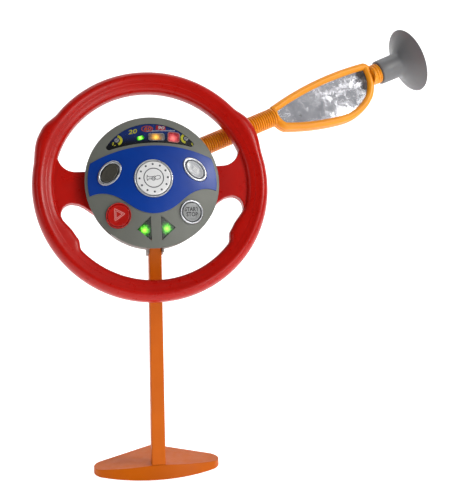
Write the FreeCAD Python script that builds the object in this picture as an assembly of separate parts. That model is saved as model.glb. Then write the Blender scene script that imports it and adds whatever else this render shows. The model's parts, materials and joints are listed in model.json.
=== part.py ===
import FreeCAD, Part
import math
import os

# Toy driving console for a back seat: a steering wheel that turns round a fixed, battery-powered
# hub, carried on a flat stem with a lap foot, and held to the window by a bendable ribbed arm
# with a toy rear-view mirror and a suction cup.
#
# Row frame, millimetres: origin in the foot's sole under the stem, +X to the driver's right,
# +Y away from the driver, +Z up.
# Head frame: z along the steering axis towards the driver, y up the wheel, x to the right.
# Arm frame: x along the arm, y across the mirror, z out of the mirror towards the driver.

Vec = FreeCAD.Vector
X_AXIS = Vec(1, 0, 0)
Y_AXIS = Vec(0, 1, 0)
Z_AXIS = Vec(0, 0, 1)
FAR = 400.0                       # larger than any piece, for half spaces

# ---- fits ---------------------------------------------------------------------------------------
RUN_FIT = 0.05                    # radial, a shaft turning in a bore
BUTTON_FIT = 0.15                 # all round a push button
SEAT_FIT = 0.1                    # a loose seat between fixed pieces
DOOR_FIT = 0.25                   # round the battery door
PLAY = 0.25                       # end play of the wheel on its boss
HEAD_FIT = 0.2                    # radial, round a sunk screw head
CAP_GAP = 0.1                     # over a button's flange and under its post
OVER = 1.0                        # how far a cutter runs past a face

# ---- stand --------------------------------------------------------------------------------------
HUB_BACK = 24.6                   # hub centre behind the stem
HUB_HEIGHT = 312.6                # hub centre above the sole
WHEEL_TILT = 30.0                 # steering axis above the horizontal
STEM_FOOT_W = 14.8
STEM_TOP_W = 12.5
STEM_T = 12.0
STEM_END = 4.0                    # lower end of the stem above the sole
TENON_L = 24.0                    # length of stem held inside the hub case
SOCKET_WALL = 2.2
COLLAR_DROP = 2.5                 # socket showing below the case
FOOT_W = 135.0
FOOT_FRONT = 14.0                 # sole edge in front of the stem axis
FOOT_BACK = 56.0                  # sole point behind the stem axis
FOOT_END_R = 16.0                 # rounding of its two ends
FOOT_END_Y = 15.0                 # middle of the rounding behind the stem axis
FOOT_END_FROM = -60.0             # angles over which the rounding runs
FOOT_END_TO = 55.0
FOOT_H = 14.0                     # at the crease in front of the stem
FOOT_END_H = 8.5                  # at the two ends
FOOT_BACK_H = 8.0                 # at the back point
SKIRT_SLOPE = 8.0                 # how far the skirt leans back up to the crease
SKIRT_END_SLOPE = 6.4             # the same at the two ends
FOOT_SCREW_X = 3.7                # two screws, each side of the middle
FOOT_SCREW_R = 1.3
FOOT_SCREW_HEAD_R = 2.5
FOOT_SCREW_HEAD_H = 2.0
FOOT_SCREW_L = 18.0
FOOT_SCREW_SEAT = 2.4
STEM_EDGE_R = 1.2
STEM_SCREW_R = 1.3
STEM_SCREW_HEAD_R = 2.6
STEM_SCREW_HEAD_H = 1.6
STEM_SCREW_SHORT = 0.4            # its point inside the socket's back wall
STEM_SCREW_DROPS = [13.0, 5.5]    # below the stem's top

# ---- battery compartment and speaker -------------------------------------------------------------
CELL_R = 7.2
CELL_L = 50.5
CELL_GAP = 0.6                    # between neighbouring cells
CELL_PITCH = 2 * CELL_R + CELL_GAP
CELL_NUB_R = 2.7
CELL_NUB_L = 1.0
CELL_CAP_GAP = 0.5                # short of its plate and its coil
CELL_DROP = 0.6                   # below the deck
PLATE_T = 0.6
PLATE_HALF = 5.0
COIL_R = 4.6
COIL_TIP_R = 3.0
COIL_BORE_R = 2.2
COIL_FIT = 0.3
BAY_HALF_X = CELL_L / 2 + 4.95     # room for the contacts
BAY_HALF_U = CELL_PITCH + CELL_R + 1.4
BAY_WALL = 1.8
DOOR_T = 1.8
DOOR_LEDGE = 1.6
DOOR_EAR_HALF = 6.0
DOOR_EAR_U = -BAY_HALF_U - 7.9
DOOR_SCREW_U = -BAY_HALF_U - 4.2
DOOR_SCREW_R = 1.3
DOOR_SCREW_HEAD_R = 2.6
DOOR_SCREW_HEAD_H = 1.2
DOOR_SCREW_L = 8.0
SPEAKER_R = 11.0
SPEAKER_U = BAY_HALF_U + 20.9      # past the upper post
SPEAKER_H = 7.0
SPEAKER_FRAME_T = 2.5
SPEAKER_MAGNET = 0.6              # magnet radius, of the frame's
SPEAKER_EDGE = 1.5                # slots stop short of the frame's edge
GRILLE_SLOTS = 5
GRILLE_SLOT_W = 1.6
GRILLE_PITCH = 3.6

# ---- hub ----------------------------------------------------------------------------------------
FACE_R = 68.0                     # front shell
FACE_EDGE = 16.0                  # its edge, in front of the rim's middle plane
FACE_LIP = 2.0                    # height of its cylindrical edge
DOME_EDGE_R = 66.0
DOME_RISE = 12.0
FACE_WALL = 2.2
CASE_R = 66.5                     # rear casing at its front edge
CASE_SHOULDER_R = 66.0
CASE_SHOULDER = -3.0              # where the casing starts to taper
CASE_BACK_R = SPEAKER_U + SPEAKER_R + 2.5
CASE_BACK = -33.0
CASE_WALL = 2.4
CASE_FLOOR = 3.2
DECK = -11.0                      # top of the deck that carries the wheel boss
DECK_T = 2.0
BOARD = 8.0                       # underside of the circuit board
BOARD_T = 1.6
BOARD_R = 57.0
POST_R = 4.0
POST_BORE_R = 1.6
POST_LOW_U = -BAY_HALF_U - 4.4
POSTS = [(0.0, BAY_HALF_U + 5.9), (-20.5, POST_LOW_U), (20.5, POST_LOW_U)]
CASE_SCREW_R = 1.4
CASE_SCREW_HEAD_R = 2.9
CASE_SCREW_HEAD_H = 2.0
CASE_SCREW_SEAT = -4.0
CASE_SCREW_GRIP = 6.0             # length in the front shell's bosses
FACE_EDGE_R = 1.0
BOSS_SHOULDER = 3.0               # ledge round the wheel boss
DOOR_POST_H = 12.0

# ---- wheel --------------------------------------------------------------------------------------
RIM_D = 240.0
RIM_W = 22.3                      # radial width of the rim section
RIM_T = 24.0                      # rim section, front to back
RIM_WALL = 2.4
CREASE_IN = 8.5                   # crease in from the inner edge of the rim
CREASE_DROP = 1.6                 # crease below the highest line of the rim
GRIP_ANGLE = 30.0                 # outward grips above the spokes
GRIP_OUT = 4.3
GRIP_LEN = 44.0
THUMB_ANGLE = -31.0               # inward thumb rests below the spokes
THUMB_IN = 5.8
THUMB_LEN = 42.0
SPOKE_FRONT = 5.0
SPOKE_BACK = -6.0
SPOKE_TOP = 16.5                  # upper edge of a spoke above the steering axis
SPOKE_LOW = 16.0                  # its lower edge below the axis, at the waist
SPOKE_ROOT_LOW = 29.0             # lower edge at its root
SPOKE_ROOT_IN = 6.0               # root inside the shields
SPOKE_WAIST_X = 72.0              # waist from the steering axis
SPOKE_WAIST_FALL = 2.6            # lower edge below SPOKE_LOW where its curve starts
SPOKE_TOP_ANGLE = 19.0            # where its edges meet the rim
SPOKE_LOW_ANGLE = -20.5
SPOKE_CURVE_TOP = (84.5, 3.6)     # middle of the upper curve, and its rise
SPOKE_CURVE_LOW = (82.0, 0.6)
SPOKE_IN_RIM = 4.0
BRIDGE_HALF = 12.0                # bar across the hub that joins the spokes
STEER_LIMIT = 20.0                # each way
BOSS_R = 16.0
BOSS_WALL = 4.0
BOSS_BORE_R = BOSS_R - BOSS_WALL
WHEEL_RING_R = BOSS_R + 8.0
WHEEL_RING_BACK = -4.0
WASHER_R = BOSS_R + 4.0
WASHER_T = 1.5
WASHER_SCREW_R = 1.1
WASHER_SCREW_FIT = 0.1
WASHER_SCREW_HEAD_R = 1.9
WASHER_SCREW_HEAD_H = 1.0
WASHER_SCREW_L = 7.0
WASHER_SCREWS = 3
SHIELD_R = 62.2
SHIELD_T = 2.0
SHIELD_FRONT = 11.5
SHIELD_ANGLES = (-60.0, 55.0)
SHIELD_FIT = 0.4
SHIELD_FOOT_HALF = 8.0            # half the angle of its foot on the spoke
SHIELD_FOOT_W = 5.0
SHIELD_FOOT_T = 1.6
WHEEL_SCREW_R = 1.5
WHEEL_SCREW_HEAD_R = 2.9
WHEEL_SCREW_HEAD_H = 2.0
WHEEL_SCREW_ANGLES = [62.0, 118.0, 242.0, 298.0]
WHEEL_SCREW_SEAT = -6.0
WHEEL_SCREW_L = 13.5
WHEEL_SCREW_TOP = 8.0             # end of its pilot hole
WHEEL_POST_R = 3.6
WHEEL_POST_END = 2.5              # post's end below the rim's highest line
SPOKE_SCREW_X = 76.0
SPOKE_SCREW_SEAT = -3.0
SPOKE_SCREW_L = 6.5

# ---- push buttons: centre, half sizes of cap and bezel, turn, height of each above the dome ------
BUTTONS = {
    "horn": {"at": (0.0, 0.5), "cap": (17.2, 17.2), "bezel": (19.6, 19.6), "turn": 0.0,
             "cap_up": 2.6, "bezel_up": 2.0},
    "phone": {"at": (-43.0, 9.0), "cap": (10.5, 6.9), "bezel": (14.4, 10.0), "turn": 48.0,
              "cap_up": 1.8, "bezel_up": 2.2},
    "radio": {"at": (43.0, 9.0), "cap": (10.5, 6.9), "bezel": (14.4, 10.0), "turn": -48.0,
              "cap_up": 1.8, "bezel_up": 2.2},
    "hazard": {"at": (-36.9, -34.4), "cap": (11.0, 11.0), "bezel": (12.5, 12.5), "turn": 0.0,
               "cap_up": 1.6, "bezel_up": 2.2},
    "start": {"at": (36.5, -34.4), "cap": (9.3, 9.3), "bezel": (12.0, 12.0), "turn": 0.0,
              "cap_up": 1.5, "bezel_up": 2.2},
}
BUTTON_TRAVEL = 1.5
FLANGE_T = 1.2
FLANGE_W = 1.1
SWITCH_SIDE = 6.0
SWITCH_H = 0.8
PUSH_POST_R = 1.6
RUBBER_R = 5.4
RUBBER_WALL = 0.7
RUBBER_TAPER = 0.6
CAP_ROOT = 0.5                    # cap sunk into its flange

# ---- dash window --------------------------------------------------------------------------------
DASH_TOP_R = 54.6
DASH_TOP_U = 5.6                  # centre of the window's upper arc
DASH_LOW_U = 38.5                 # middle of its lower edge
DASH_LOW_R = 170.0
DASH_CORNER_R = 3.0
WINDOW_DEPTH = 0.2                # clear cover below the dome
WINDOW_T = 0.8
LABEL_GAP = 0.1
LABEL_T = 1.0
LABEL_LIP = 1.5                   # label wider than the window, all round
LAMP_H = 0.9                      # lamps above the label
LAMP_CORNER = 0.3                 # corner radius of a lamp, of its smaller side
LAMPS = {"green_lamp": ((-9.5, 44.6), (8.0, 4.4)), "amber_lamp": ((6.8, 45.4), (16.0, 8.0)),
         "red_lamp": ((24.4, 44.4), (11.0, 10.5))}
DIAL_SCREWS = [(-34.0, 43.4), (36.2, 42.0)]
DIAL_SCREW_R = 2.4
DIAL_SCREW_H = 0.9
DIAL_SCREW_L = 5.0
TURN_NEAR = 5.2                   # upright side of each turn arrow from the middle
TURN_FAR = 19.3                   # its point
TURN_MID = -48.9
TURN_HALF = 11.9
TURN_SINK = 1.4                   # lens below the dome
LENS_T = 1.8
LED_TIP = 0.7                     # tip radius of a lamp bulb, of its body's
LED_R = 2.4
LED_H = 3.0

# ---- blue panel ---------------------------------------------------------------------------------
PANEL_UP = 0.8
PANEL_R = 65.0
PANEL_TOP = 35.2
PANEL_TOP_SIDE = (61.3, 21.2)
PANEL_LOW = [(63.8, -12.5), (51.5, -11.0), (36.0, -16.5), (18.0, -29.6), (0.0, -34.5)]

# ---- bendable arm -------------------------------------------------------------------------------
ARM_FROM = (67.8, 48.6, -24.0)    # a point of the arm's axis, in the head frame
ARM_RISE = 22.2                   # turn of the arm up from the head's x
ARM_LEAN = 7.5                    # its lean away from the driver
ARM_R = 10.0
RIB_DEPTH = 0.9
ARM_START = -18.0                 # first bend, along the arm
ARM_END = 76.0                    # arm ends in the mirror housing
SEGMENTS = 6
RIBS = 5
RIB_CREST = 0.62                  # end of a rib's crest, of its pitch
RIB_GROOVE = (0.68, 0.95)         # floor of the groove, of the pitch
RIB_TAIL = 0.35                   # pitch that the last rib leaves out
BEND_RELIEF = 7.8                 # each end face is coned by this, so two make room for 15 degrees
FACE_GAP = 0.05
WIRE_R = 1.5
PLUG_R = 9.0
PLUG_END = -36.0
PLUG_FLANGE_R = 11.5
PLUG_FLANGE_T = 3.0
ARM_COLLAR_R = 12.6
ARM_COLLAR_END = -21.0

# ---- mirror -------------------------------------------------------------------------------------
MIRROR_ARCS = [((79.5, 10.5), (130.0, 18.0)), ((200.0, 16.5), (205.8, 13.4)),
               ((207.0, 7.0), (203.6, -9.0)), ((193.0, -24.0), (174.5, -33.8)),
               ((150.0, -36.2), (115.0, -29.2)), ((84.0, -18.5), (76.4, -4.5))]
MIRROR_FRONT = 6.5
MIRROR_BACK = -9.0
MIRROR_WALL = 2.2
BEZEL_W = 8.0
FILM_T = 0.6
FILM_TOP = 3.0
FILM_LAP = 1.6
MIRROR_POSTS = [(112.0, -6.0), (172.0, -8.0)]
MIRROR_SCREW_R = 1.3
MIRROR_SCREW_HEAD_R = 2.6
MIRROR_SCREW_HEAD_H = 1.6
MIRROR_SCREW_SINK = 2.0
MIRROR_SCREW_L = 8.0
MIRROR_FRONT_R = 3.0
MIRROR_BACK_R = 4.0
MIRROR_HOLLOW_IN = 2.0            # hollow further in than the wall
MIRROR_POST_R = 3.5
MIRROR_POST_FIT = 0.3
MIRROR_NECK_L = 12.0

# ---- suction cup --------------------------------------------------------------------------------
NECK_START = 208.6
NECK_L = 5.0
NECK_R = 10.6
NECK_RELIEF = 6.3                 # cone of each face, so two make room for 12 degrees
SLEEVE_R = 13.3
SLEEVE_END = 240.0
CUP_R = 35.5
CUP_END = 256.5
CUP_LIP = 1.2
CUP_FLARE = 10.0
CUP_PLUG_R = 9.6
CUP_PLUG_L = 22.0
CUP_FIT = 0.2
SLEEVE_EDGE = 0.5
CUP_OUTSIDE = (4.5, 0.35, 0.72)   # root's growth, its place in the flare, radius where it opens
CUP_INSIDE = (0.7, 4.5, 6.0, 3.6)

# ---- worked out ---------------------------------------------------------------------------------
RIM_R = RIM_D / 2
RIM_IN_R = RIM_R - RIM_W
RIM_TOP = RIM_T / 2
DOME_R = (DOME_EDGE_R ** 2 + DOME_RISE ** 2) / (2 * DOME_RISE)
DOME_CENTRE = FACE_EDGE + DOME_RISE - DOME_R
FACE_BASE = FACE_EDGE - FACE_LIP
BOARD_TOP = BOARD + BOARD_T
SEG_L = (ARM_END - ARM_START) / SEGMENTS
HEAD = FreeCAD.Placement(Vec(0, HUB_BACK, HUB_HEIGHT), FreeCAD.Rotation(X_AXIS, 90 - WHEEL_TILT))
ARM = HEAD.multiply(FreeCAD.Placement(Vec(*ARM_FROM), FreeCAD.Rotation(Z_AXIS, ARM_RISE)))
ARM = ARM.multiply(FreeCAD.Placement(Vec(), FreeCAD.Rotation(Y_AXIS, ARM_LEAN)))
TOP = FAR / 4                     # a height above everything in the head
NEAR = 1e-3                       # lengths that count as equal


# ---- small tools --------------------------------------------------------------------------------
def placed(shape, frame):
    """The shape, moved from a local frame into the row frame."""
    moved = shape.copy()
    moved.Placement = frame.multiply(moved.Placement)
    return moved


def save(name, shape, frame=None):
    """Write one node."""
    solid = placed(shape, frame) if frame else shape
    solid.exportStep(f"parts/{name}.step")


def group(shapes):
    return Part.makeCompound(shapes)


def rod(radius, low, high, x=0.0, y=0.0):
    """Upright cylinder between two heights."""
    return Part.makeCylinder(radius, high - low, Vec(x, y, low), Z_AXIS)


def tube(outer, inner, low, high, x=0.0, y=0.0):
    return rod(outer, low, high, x, y).cut(rod(inner, low, high, x, y))


def block(x0, x1, y0, y1, z0, z1):
    return Part.makeBox(x1 - x0, y1 - y0, z1 - z0, Vec(x0, y0, z0))


def above(height):
    return block(-FAR, FAR, -FAR, FAR, height, FAR)


def below(height):
    return block(-FAR, FAR, -FAR, FAR, -FAR, height)


def spin(points, axis=Z_AXIS):
    """Closed polygon of (radius, height) turned about the axis; x stands in for z on X_AXIS."""
    if axis == Z_AXIS:
        corners = [Vec(r, 0, h) for r, h in points]
    else:
        corners = [Vec(h, r, 0) for r, h in points]
    face = Part.Face(Part.makePolygon(corners + corners[:1]))
    return face.revolve(Vec(), axis, 360)


def prism(wire, low, high):
    """Flat closed wire in the plane z = 0, raised between two heights."""
    solid = Part.Face(wire).extrude(Vec(0, 0, high - low))
    solid.translate(Vec(0, 0, low))
    return solid


def arc_wire(arcs):
    """Closed outline of arcs, each given by its start and its middle."""
    starts = [Vec(*start, 0) for start, middle in arcs]
    ends = starts[1:] + starts[:1]
    return Part.Wire([Part.Arc(start, Vec(*middle, 0), end).toShape()
                      for start, end, (_, middle) in zip(starts, ends, arcs)])


def grown(wire, distance):
    """The outline, offset outwards, or inwards if the distance is negative."""
    return wire.makeOffset2D(distance)


def oval(centre, half, turn, low, high):
    """Elliptical prism; equal half sizes make it round."""
    if abs(half[0] - half[1]) < NEAR:
        return rod(half[0], low, high, *centre)
    edge = Part.Ellipse(Vec(), half[0], half[1]).toShape()
    solid = prism(Part.Wire(edge), low, high)
    solid.rotate(Vec(), Z_AXIS, turn)
    solid.translate(Vec(centre[0], centre[1], 0))
    return solid


def wider(half, extra):
    return (half[0] + extra, half[1] + extra)


def dome(offset):
    """Ball whose front is the hub's dome, grown by the offset."""
    return Part.makeSphere(DOME_R + offset, Vec(0, 0, DOME_CENTRE), Z_AXIS)


def dome_height(radius, offset=0.0):
    return DOME_CENTRE + math.sqrt((DOME_R + offset) ** 2 - radius ** 2)


def screw(radius, head_r, head_h, length, seat, x, y):
    """Screw whose shank runs up from the seat and whose round head is below it."""
    return rod(radius, seat, seat + length, x, y).fuse(rod(head_r, seat - head_h, seat, x, y))


def mirrored(shape):
    """The same shape on the other side of the steering axis."""
    return shape.mirror(Vec(), X_AXIS)


def stem_height(down, forward):
    """Height where the stem, this far forward of its axis, is this far down the wheel's plane."""
    tilt = math.radians(WHEEL_TILT)
    return HUB_HEIGHT + ((forward + HUB_BACK) * math.sin(tilt) - down) / math.cos(tilt)


# ---- stand --------------------------------------------------------------------------------------
CASE_ENTRY = stem_height(CASE_R, 0.0)       # stem axis meets the casing
STEM_TOP = CASE_ENTRY + TENON_L


def stem_bar(extra, low, high):
    """Tapered flat bar, grown all round by the extra."""
    span = STEM_TOP - STEM_END

    def half(z):
        return (STEM_FOOT_W + (STEM_TOP_W - STEM_FOOT_W) * (z - STEM_END) / span) / 2 + extra
    corners = [Vec(-half(low), 0, low), Vec(half(low), 0, low), Vec(half(high), 0, high),
               Vec(-half(high), 0, high)]
    bar = Part.Face(Part.makePolygon(corners + corners[:1])).extrude(Vec(0, STEM_T + 2 * extra, 0))
    bar.translate(Vec(0, -STEM_T / 2 - extra, 0))
    return bar


def stem_screw(z):
    """Screw through the tenon into the back of its socket, head sunk in the stem's front."""
    front = -STEM_T / 2
    head = Part.makeCylinder(STEM_SCREW_HEAD_R, STEM_SCREW_HEAD_H, Vec(0, front, z), Y_AXIS)
    length = STEM_T + SOCKET_WALL - STEM_SCREW_SHORT
    shank = Part.makeCylinder(STEM_SCREW_R, length, Vec(0, front, z), Y_AXIS)
    return head.fuse(shank)


STEM_SCREW_HEIGHTS = [STEM_TOP - drop for drop in STEM_SCREW_DROPS]


def make_stem():
    stem = stem_bar(0.0, STEM_END, STEM_TOP)
    stem = stem.makeFillet(STEM_EDGE_R, [e for e in stem.Edges if e.Length > TENON_L * 2])
    for z in STEM_SCREW_HEIGHTS:
        stem = stem.cut(stem_screw(z))
    for x in (-FOOT_SCREW_X, FOOT_SCREW_X):
        stem = stem.cut(rod(FOOT_SCREW_R, STEM_END, FOOT_SCREW_SEAT + FOOT_SCREW_L, x))
    return stem


def foot_outline(inset, end_inset):
    """Bowed front, round ends and a shallow point behind; the insets move the front edge back."""
    mid_x = FOOT_W / 2 - FOOT_END_R

    def on_end(angle, side):
        turn = math.radians(angle)
        return Vec(side * (mid_x + FOOT_END_R * math.cos(turn)),
                   FOOT_END_Y + FOOT_END_R * math.sin(turn), 0)
    start_y = on_end(FOOT_END_FROM, 1).y + end_inset
    start = math.degrees(math.asin((start_y - FOOT_END_Y) / FOOT_END_R))
    middle = (start + FOOT_END_TO) / 2
    point = Vec(0, FOOT_BACK, 0)
    front = Vec(0, -FOOT_FRONT + inset, 0)
    edges = [Part.Arc(on_end(start, -1), front, on_end(start, 1)).toShape(),
             Part.Arc(on_end(start, 1), on_end(middle, 1), on_end(FOOT_END_TO, 1)).toShape(),
             Part.makeLine(on_end(FOOT_END_TO, 1), point),
             Part.makeLine(point, on_end(FOOT_END_TO, -1)),
             Part.Arc(on_end(FOOT_END_TO, -1), on_end(middle, -1), on_end(start, -1)).toShape()]
    return Part.Wire(edges)


def roof_cut(side):
    """Wedge over one half of the foot, whose underside is that half's sloping top."""
    rise = FOOT_H - FOOT_END_H
    half = FOOT_W / 2
    fall = FOOT_H - FOOT_BACK_H
    depth = FOOT_BACK + STEM_T / 2
    normal = Vec(side * rise / half, fall / depth, 1.0).normalize()
    top = Part.makeBox(FAR, FAR, FAR, Vec(-FAR / 2, -FAR / 2, 0))
    turn = FreeCAD.Rotation(Z_AXIS, normal)
    top.Placement = FreeCAD.Placement(Vec(0, -STEM_T / 2, FOOT_H), turn)
    limits = block(0, FAR, -FAR, FAR, -FAR, FAR) if side > 0 else block(-FAR, 0, -FAR, FAR, -FAR, FAR)
    return top.common(limits)


def make_foot():
    top = foot_outline(SKIRT_SLOPE, SKIRT_END_SLOPE)
    top.translate(Vec(0, 0, FOOT_H))
    foot = Part.makeLoft([foot_outline(0.0, 0.0), top], True, True)
    foot = foot.cut(roof_cut(1)).cut(roof_cut(-1))
    foot = foot.cut(stem_bar(SEAT_FIT, STEM_END, FOOT_H * 2))
    for x in (-FOOT_SCREW_X, FOOT_SCREW_X):
        foot = foot.cut(rod(FOOT_SCREW_HEAD_R + HEAD_FIT, -OVER, FOOT_SCREW_SEAT, x))
        foot = foot.cut(rod(FOOT_SCREW_R + SEAT_FIT, -OVER, STEM_END + OVER, x))
    return foot


def make_foot_screws():
    return group([screw(FOOT_SCREW_R, FOOT_SCREW_HEAD_R, FOOT_SCREW_HEAD_H, FOOT_SCREW_L,
                        FOOT_SCREW_SEAT, x, 0) for x in (-FOOT_SCREW_X, FOOT_SCREW_X)])


# ---- rear casing --------------------------------------------------------------------------------
def spoke_gap_angles():
    """Angles between which one spoke moves at the casing wall, right side."""
    upper = math.degrees(math.asin(SPOKE_TOP / SHIELD_R)) + STEER_LIMIT + 1.0
    lower = math.degrees(math.atan2(SPOKE_ROOT_LOW, SHIELD_R - SPOKE_ROOT_IN)) + STEER_LIMIT + 1.0
    return -lower, upper


def sector(radius, start, end, low, high):
    """Pie slice of a cylinder."""
    slice_ = Part.makeCylinder(radius, high - low, Vec(0, 0, low), Z_AXIS, end - start)
    slice_.rotate(Vec(), Z_AXIS, start)
    return slice_


def arm_rod(radius, low, high):
    """Cylinder along the arm's axis, in the arm frame."""
    return Part.makeCylinder(radius, high - low, Vec(low, 0, 0), X_AXIS)


def arm_in_head(shape):
    """A shape of the arm frame, in the head frame."""
    return placed(shape, HEAD.inverse().multiply(ARM))


def upright_in_head(shape):
    """A shape of the row frame, in the head frame."""
    return placed(shape, HEAD.inverse())


def case_cup():
    outer = [(0, CASE_BACK), (CASE_BACK_R - 2, CASE_BACK), (CASE_BACK_R, CASE_BACK + 2),
             (CASE_SHOULDER_R, CASE_SHOULDER), (CASE_R, FACE_BASE), (0, FACE_BASE)]
    inner = [(0, CASE_BACK + CASE_FLOOR), (CASE_BACK_R - CASE_WALL, CASE_BACK + CASE_FLOOR),
             (CASE_SHOULDER_R - CASE_WALL, CASE_SHOULDER), (CASE_R - CASE_WALL, FACE_BASE),
             (CASE_R - CASE_WALL, FACE_BASE + 1), (0, FACE_BASE + 1)]
    return spin(outer), spin(inner)


def stem_socket():
    """Channel that holds the tenon: side walls and a back, open to the front."""
    low = CASE_ENTRY - COLLAR_DROP - STEM_T / 2 * math.tan(math.radians(WHEEL_TILT))
    half = STEM_TOP_W / 2 + SOCKET_WALL
    back = STEM_T / 2 + SOCKET_WALL
    channel = upright_in_head(block(-half, half, -STEM_T / 2 - 2, back, low, STEM_TOP))
    under_board = BOARD - 2 * SEAT_FIT
    past_board = BOARD_R + 1.5
    reach = spin([(0, CASE_BACK + CASE_FLOOR), (CASE_R + COLLAR_DROP, CASE_BACK + CASE_FLOOR),
                  (CASE_R + COLLAR_DROP, FACE_BASE - 1), (past_board, FACE_BASE - 1),
                  (past_board, under_board), (0, under_board)])
    return channel.common(reach)


def bay_frame():
    """Walls of the battery compartment, between the back and the deck."""
    low = CASE_BACK + CASE_FLOOR - 0.5
    outer = block(-BAY_HALF_X - BAY_WALL, BAY_HALF_X + BAY_WALL, -BAY_HALF_U - BAY_WALL,
                  BAY_HALF_U + BAY_WALL, low, DECK - DECK_T + 0.5)
    return outer.cut(block(-BAY_HALF_X, BAY_HALF_X, -BAY_HALF_U, BAY_HALF_U, low, DECK))


def door_recess(extra, depth):
    """Outline of the battery door with its screw ear, as a cutter or as the door itself."""
    half_x = BAY_HALF_X + DOOR_LEDGE + extra
    half_u = BAY_HALF_U + DOOR_LEDGE + extra - BAY_WALL
    plate = block(-half_x, half_x, -half_u, half_u, CASE_BACK, CASE_BACK + depth)
    ear = block(-DOOR_EAR_HALF - extra, DOOR_EAR_HALF + extra, DOOR_EAR_U - extra, 0,
                CASE_BACK, CASE_BACK + depth)
    return plate.fuse(ear).removeSplitter()


def make_rear_casing():
    outer, inner = case_cup()
    case = outer.cut(inner)
    keep = inner.fuse(outer).removeSplitter()
    deck = rod(CASE_R, DECK - DECK_T, DECK).common(inner)
    boss = tube(BOSS_R, BOSS_BORE_R, DECK - 0.5, SPOKE_FRONT + PLAY)
    shoulder = tube(BOSS_R + BOSS_SHOULDER, BOSS_R - 1, DECK - 0.5, WHEEL_RING_BACK - PLAY)
    case = case.fuse([deck, boss, shoulder, bay_frame().common(keep), stem_socket()])
    for x, u in POSTS:
        case = case.fuse(rod(POST_R, CASE_BACK + 1, BOARD, x, u))
    case = case.fuse(rod(POST_R, CASE_BACK + 1, CASE_BACK + DOOR_POST_H, 0, DOOR_SCREW_U).common(keep))
    collar = arm_in_head(arm_rod(ARM_COLLAR_R, PLUG_END + PLUG_FLANGE_T, ARM_COLLAR_END))
    case = case.fuse(collar)
    return cut_rear_casing(case).removeSplitter()


def cut_rear_casing(case):
    """Every opening in the rear casing."""
    start, end = spoke_gap_angles()
    gap = sector(CASE_R + 3, start, end, SPOKE_BACK - 1, FACE_BASE + 1)
    gap = gap.cut(rod(SHIELD_R + SHIELD_FIT, -FAR, FAR))
    tenon = upright_in_head(stem_bar(SEAT_FIT, CASE_ENTRY - 30, STEM_TOP + 1))
    front_slot = upright_in_head(block(-STEM_TOP_W / 2 - SEAT_FIT, STEM_TOP_W / 2 + SEAT_FIT,
                                       -STEM_T * 4, 0, CASE_ENTRY - 30, STEM_TOP + 1))
    case = case.cut([gap, mirrored(gap), tenon, front_slot.common(above(CASE_SHOULDER - 15))])
    for z in STEM_SCREW_HEIGHTS:
        case = case.cut(upright_in_head(stem_screw(z)))
    for x, u in POSTS:
        case = case.cut(rod(POST_BORE_R, CASE_BACK - 1, BOARD + 1, x, u))
        case = case.cut(rod(CASE_SCREW_HEAD_R + HEAD_FIT, CASE_BACK - 1, CASE_SCREW_SEAT, x, u))
    case = case.cut(arm_in_head(arm_rod(PLUG_R + SEAT_FIT, PLUG_END, ARM_COLLAR_END + 1)))
    case = case.cut(arm_in_head(arm_rod(PLUG_FLANGE_R + 0.5, PLUG_END - 1, PLUG_END + PLUG_FLANGE_T)))
    bay = block(-BAY_HALF_X + 1, BAY_HALF_X - 1, -BAY_HALF_U + 1, BAY_HALF_U - 1, CASE_BACK - 1,
                CASE_BACK + CASE_FLOOR + 1)
    case = case.cut([bay, door_recess(DOOR_FIT, DOOR_T)])
    case = case.cut(rod(DOOR_SCREW_R, CASE_BACK, CASE_BACK + DOOR_T + DOOR_SCREW_L, 0, DOOR_SCREW_U))
    for x, u in washer_screw_places():
        low = SPOKE_FRONT - WASHER_SCREW_L - OVER
        case = case.cut(rod(WASHER_SCREW_R, low, SPOKE_FRONT + OVER, x, u))
    for step in range(GRILLE_SLOTS):
        u = SPEAKER_U + (step - (GRILLE_SLOTS - 1) / 2) * GRILLE_PITCH
        half = math.sqrt((SPEAKER_R - SPEAKER_EDGE) ** 2 - (u - SPEAKER_U) ** 2)
        case = case.cut(block(-half, half, u - GRILLE_SLOT_W / 2, u + GRILLE_SLOT_W / 2,
                              CASE_BACK - 1, CASE_BACK + CASE_FLOOR + 1))
    return case


def washer_screw_places():
    middle = (BOSS_R + BOSS_BORE_R) / 2
    return [(middle * math.cos(a), middle * math.sin(a)) for a in
            [math.radians(90 + 360 / WASHER_SCREWS * k) for k in range(WASHER_SCREWS)]]


def make_casing_screws():
    top = BOARD_TOP + CASE_SCREW_GRIP
    return group([screw(CASE_SCREW_R, CASE_SCREW_HEAD_R, CASE_SCREW_HEAD_H, top - CASE_SCREW_SEAT,
                        CASE_SCREW_SEAT, x, u) for x, u in POSTS])


# ---- hub front ----------------------------------------------------------------------------------
def dash_shape(extra, low):
    """Crescent prism from a height upwards, grown all round by the extra."""
    high = TOP
    disc = rod(DASH_TOP_R + extra, low, high, 0, DASH_TOP_U)
    crescent = disc.cut(rod(DASH_LOW_R - extra, low - 1, high + 1, 0, DASH_LOW_U - DASH_LOW_R))
    tips = [e for e in crescent.Edges if abs(e.Length - (high - low)) < NEAR
            and abs(e.Vertexes[0].X) > DASH_TOP_R / 2]
    return crescent.makeFillet(DASH_CORNER_R + extra, tips)


def turn_wire(extra):
    """Left turn arrow: an upright side and a point to the left."""
    corners = [Vec(-TURN_NEAR + extra, TURN_MID - TURN_HALF - 1.6 * extra, 0),
               Vec(-TURN_NEAR + extra, TURN_MID + TURN_HALF + 1.6 * extra, 0),
               Vec(-TURN_FAR - 1.4 * extra, TURN_MID, 0)]
    return Part.makePolygon(corners + corners[:1])


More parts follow.
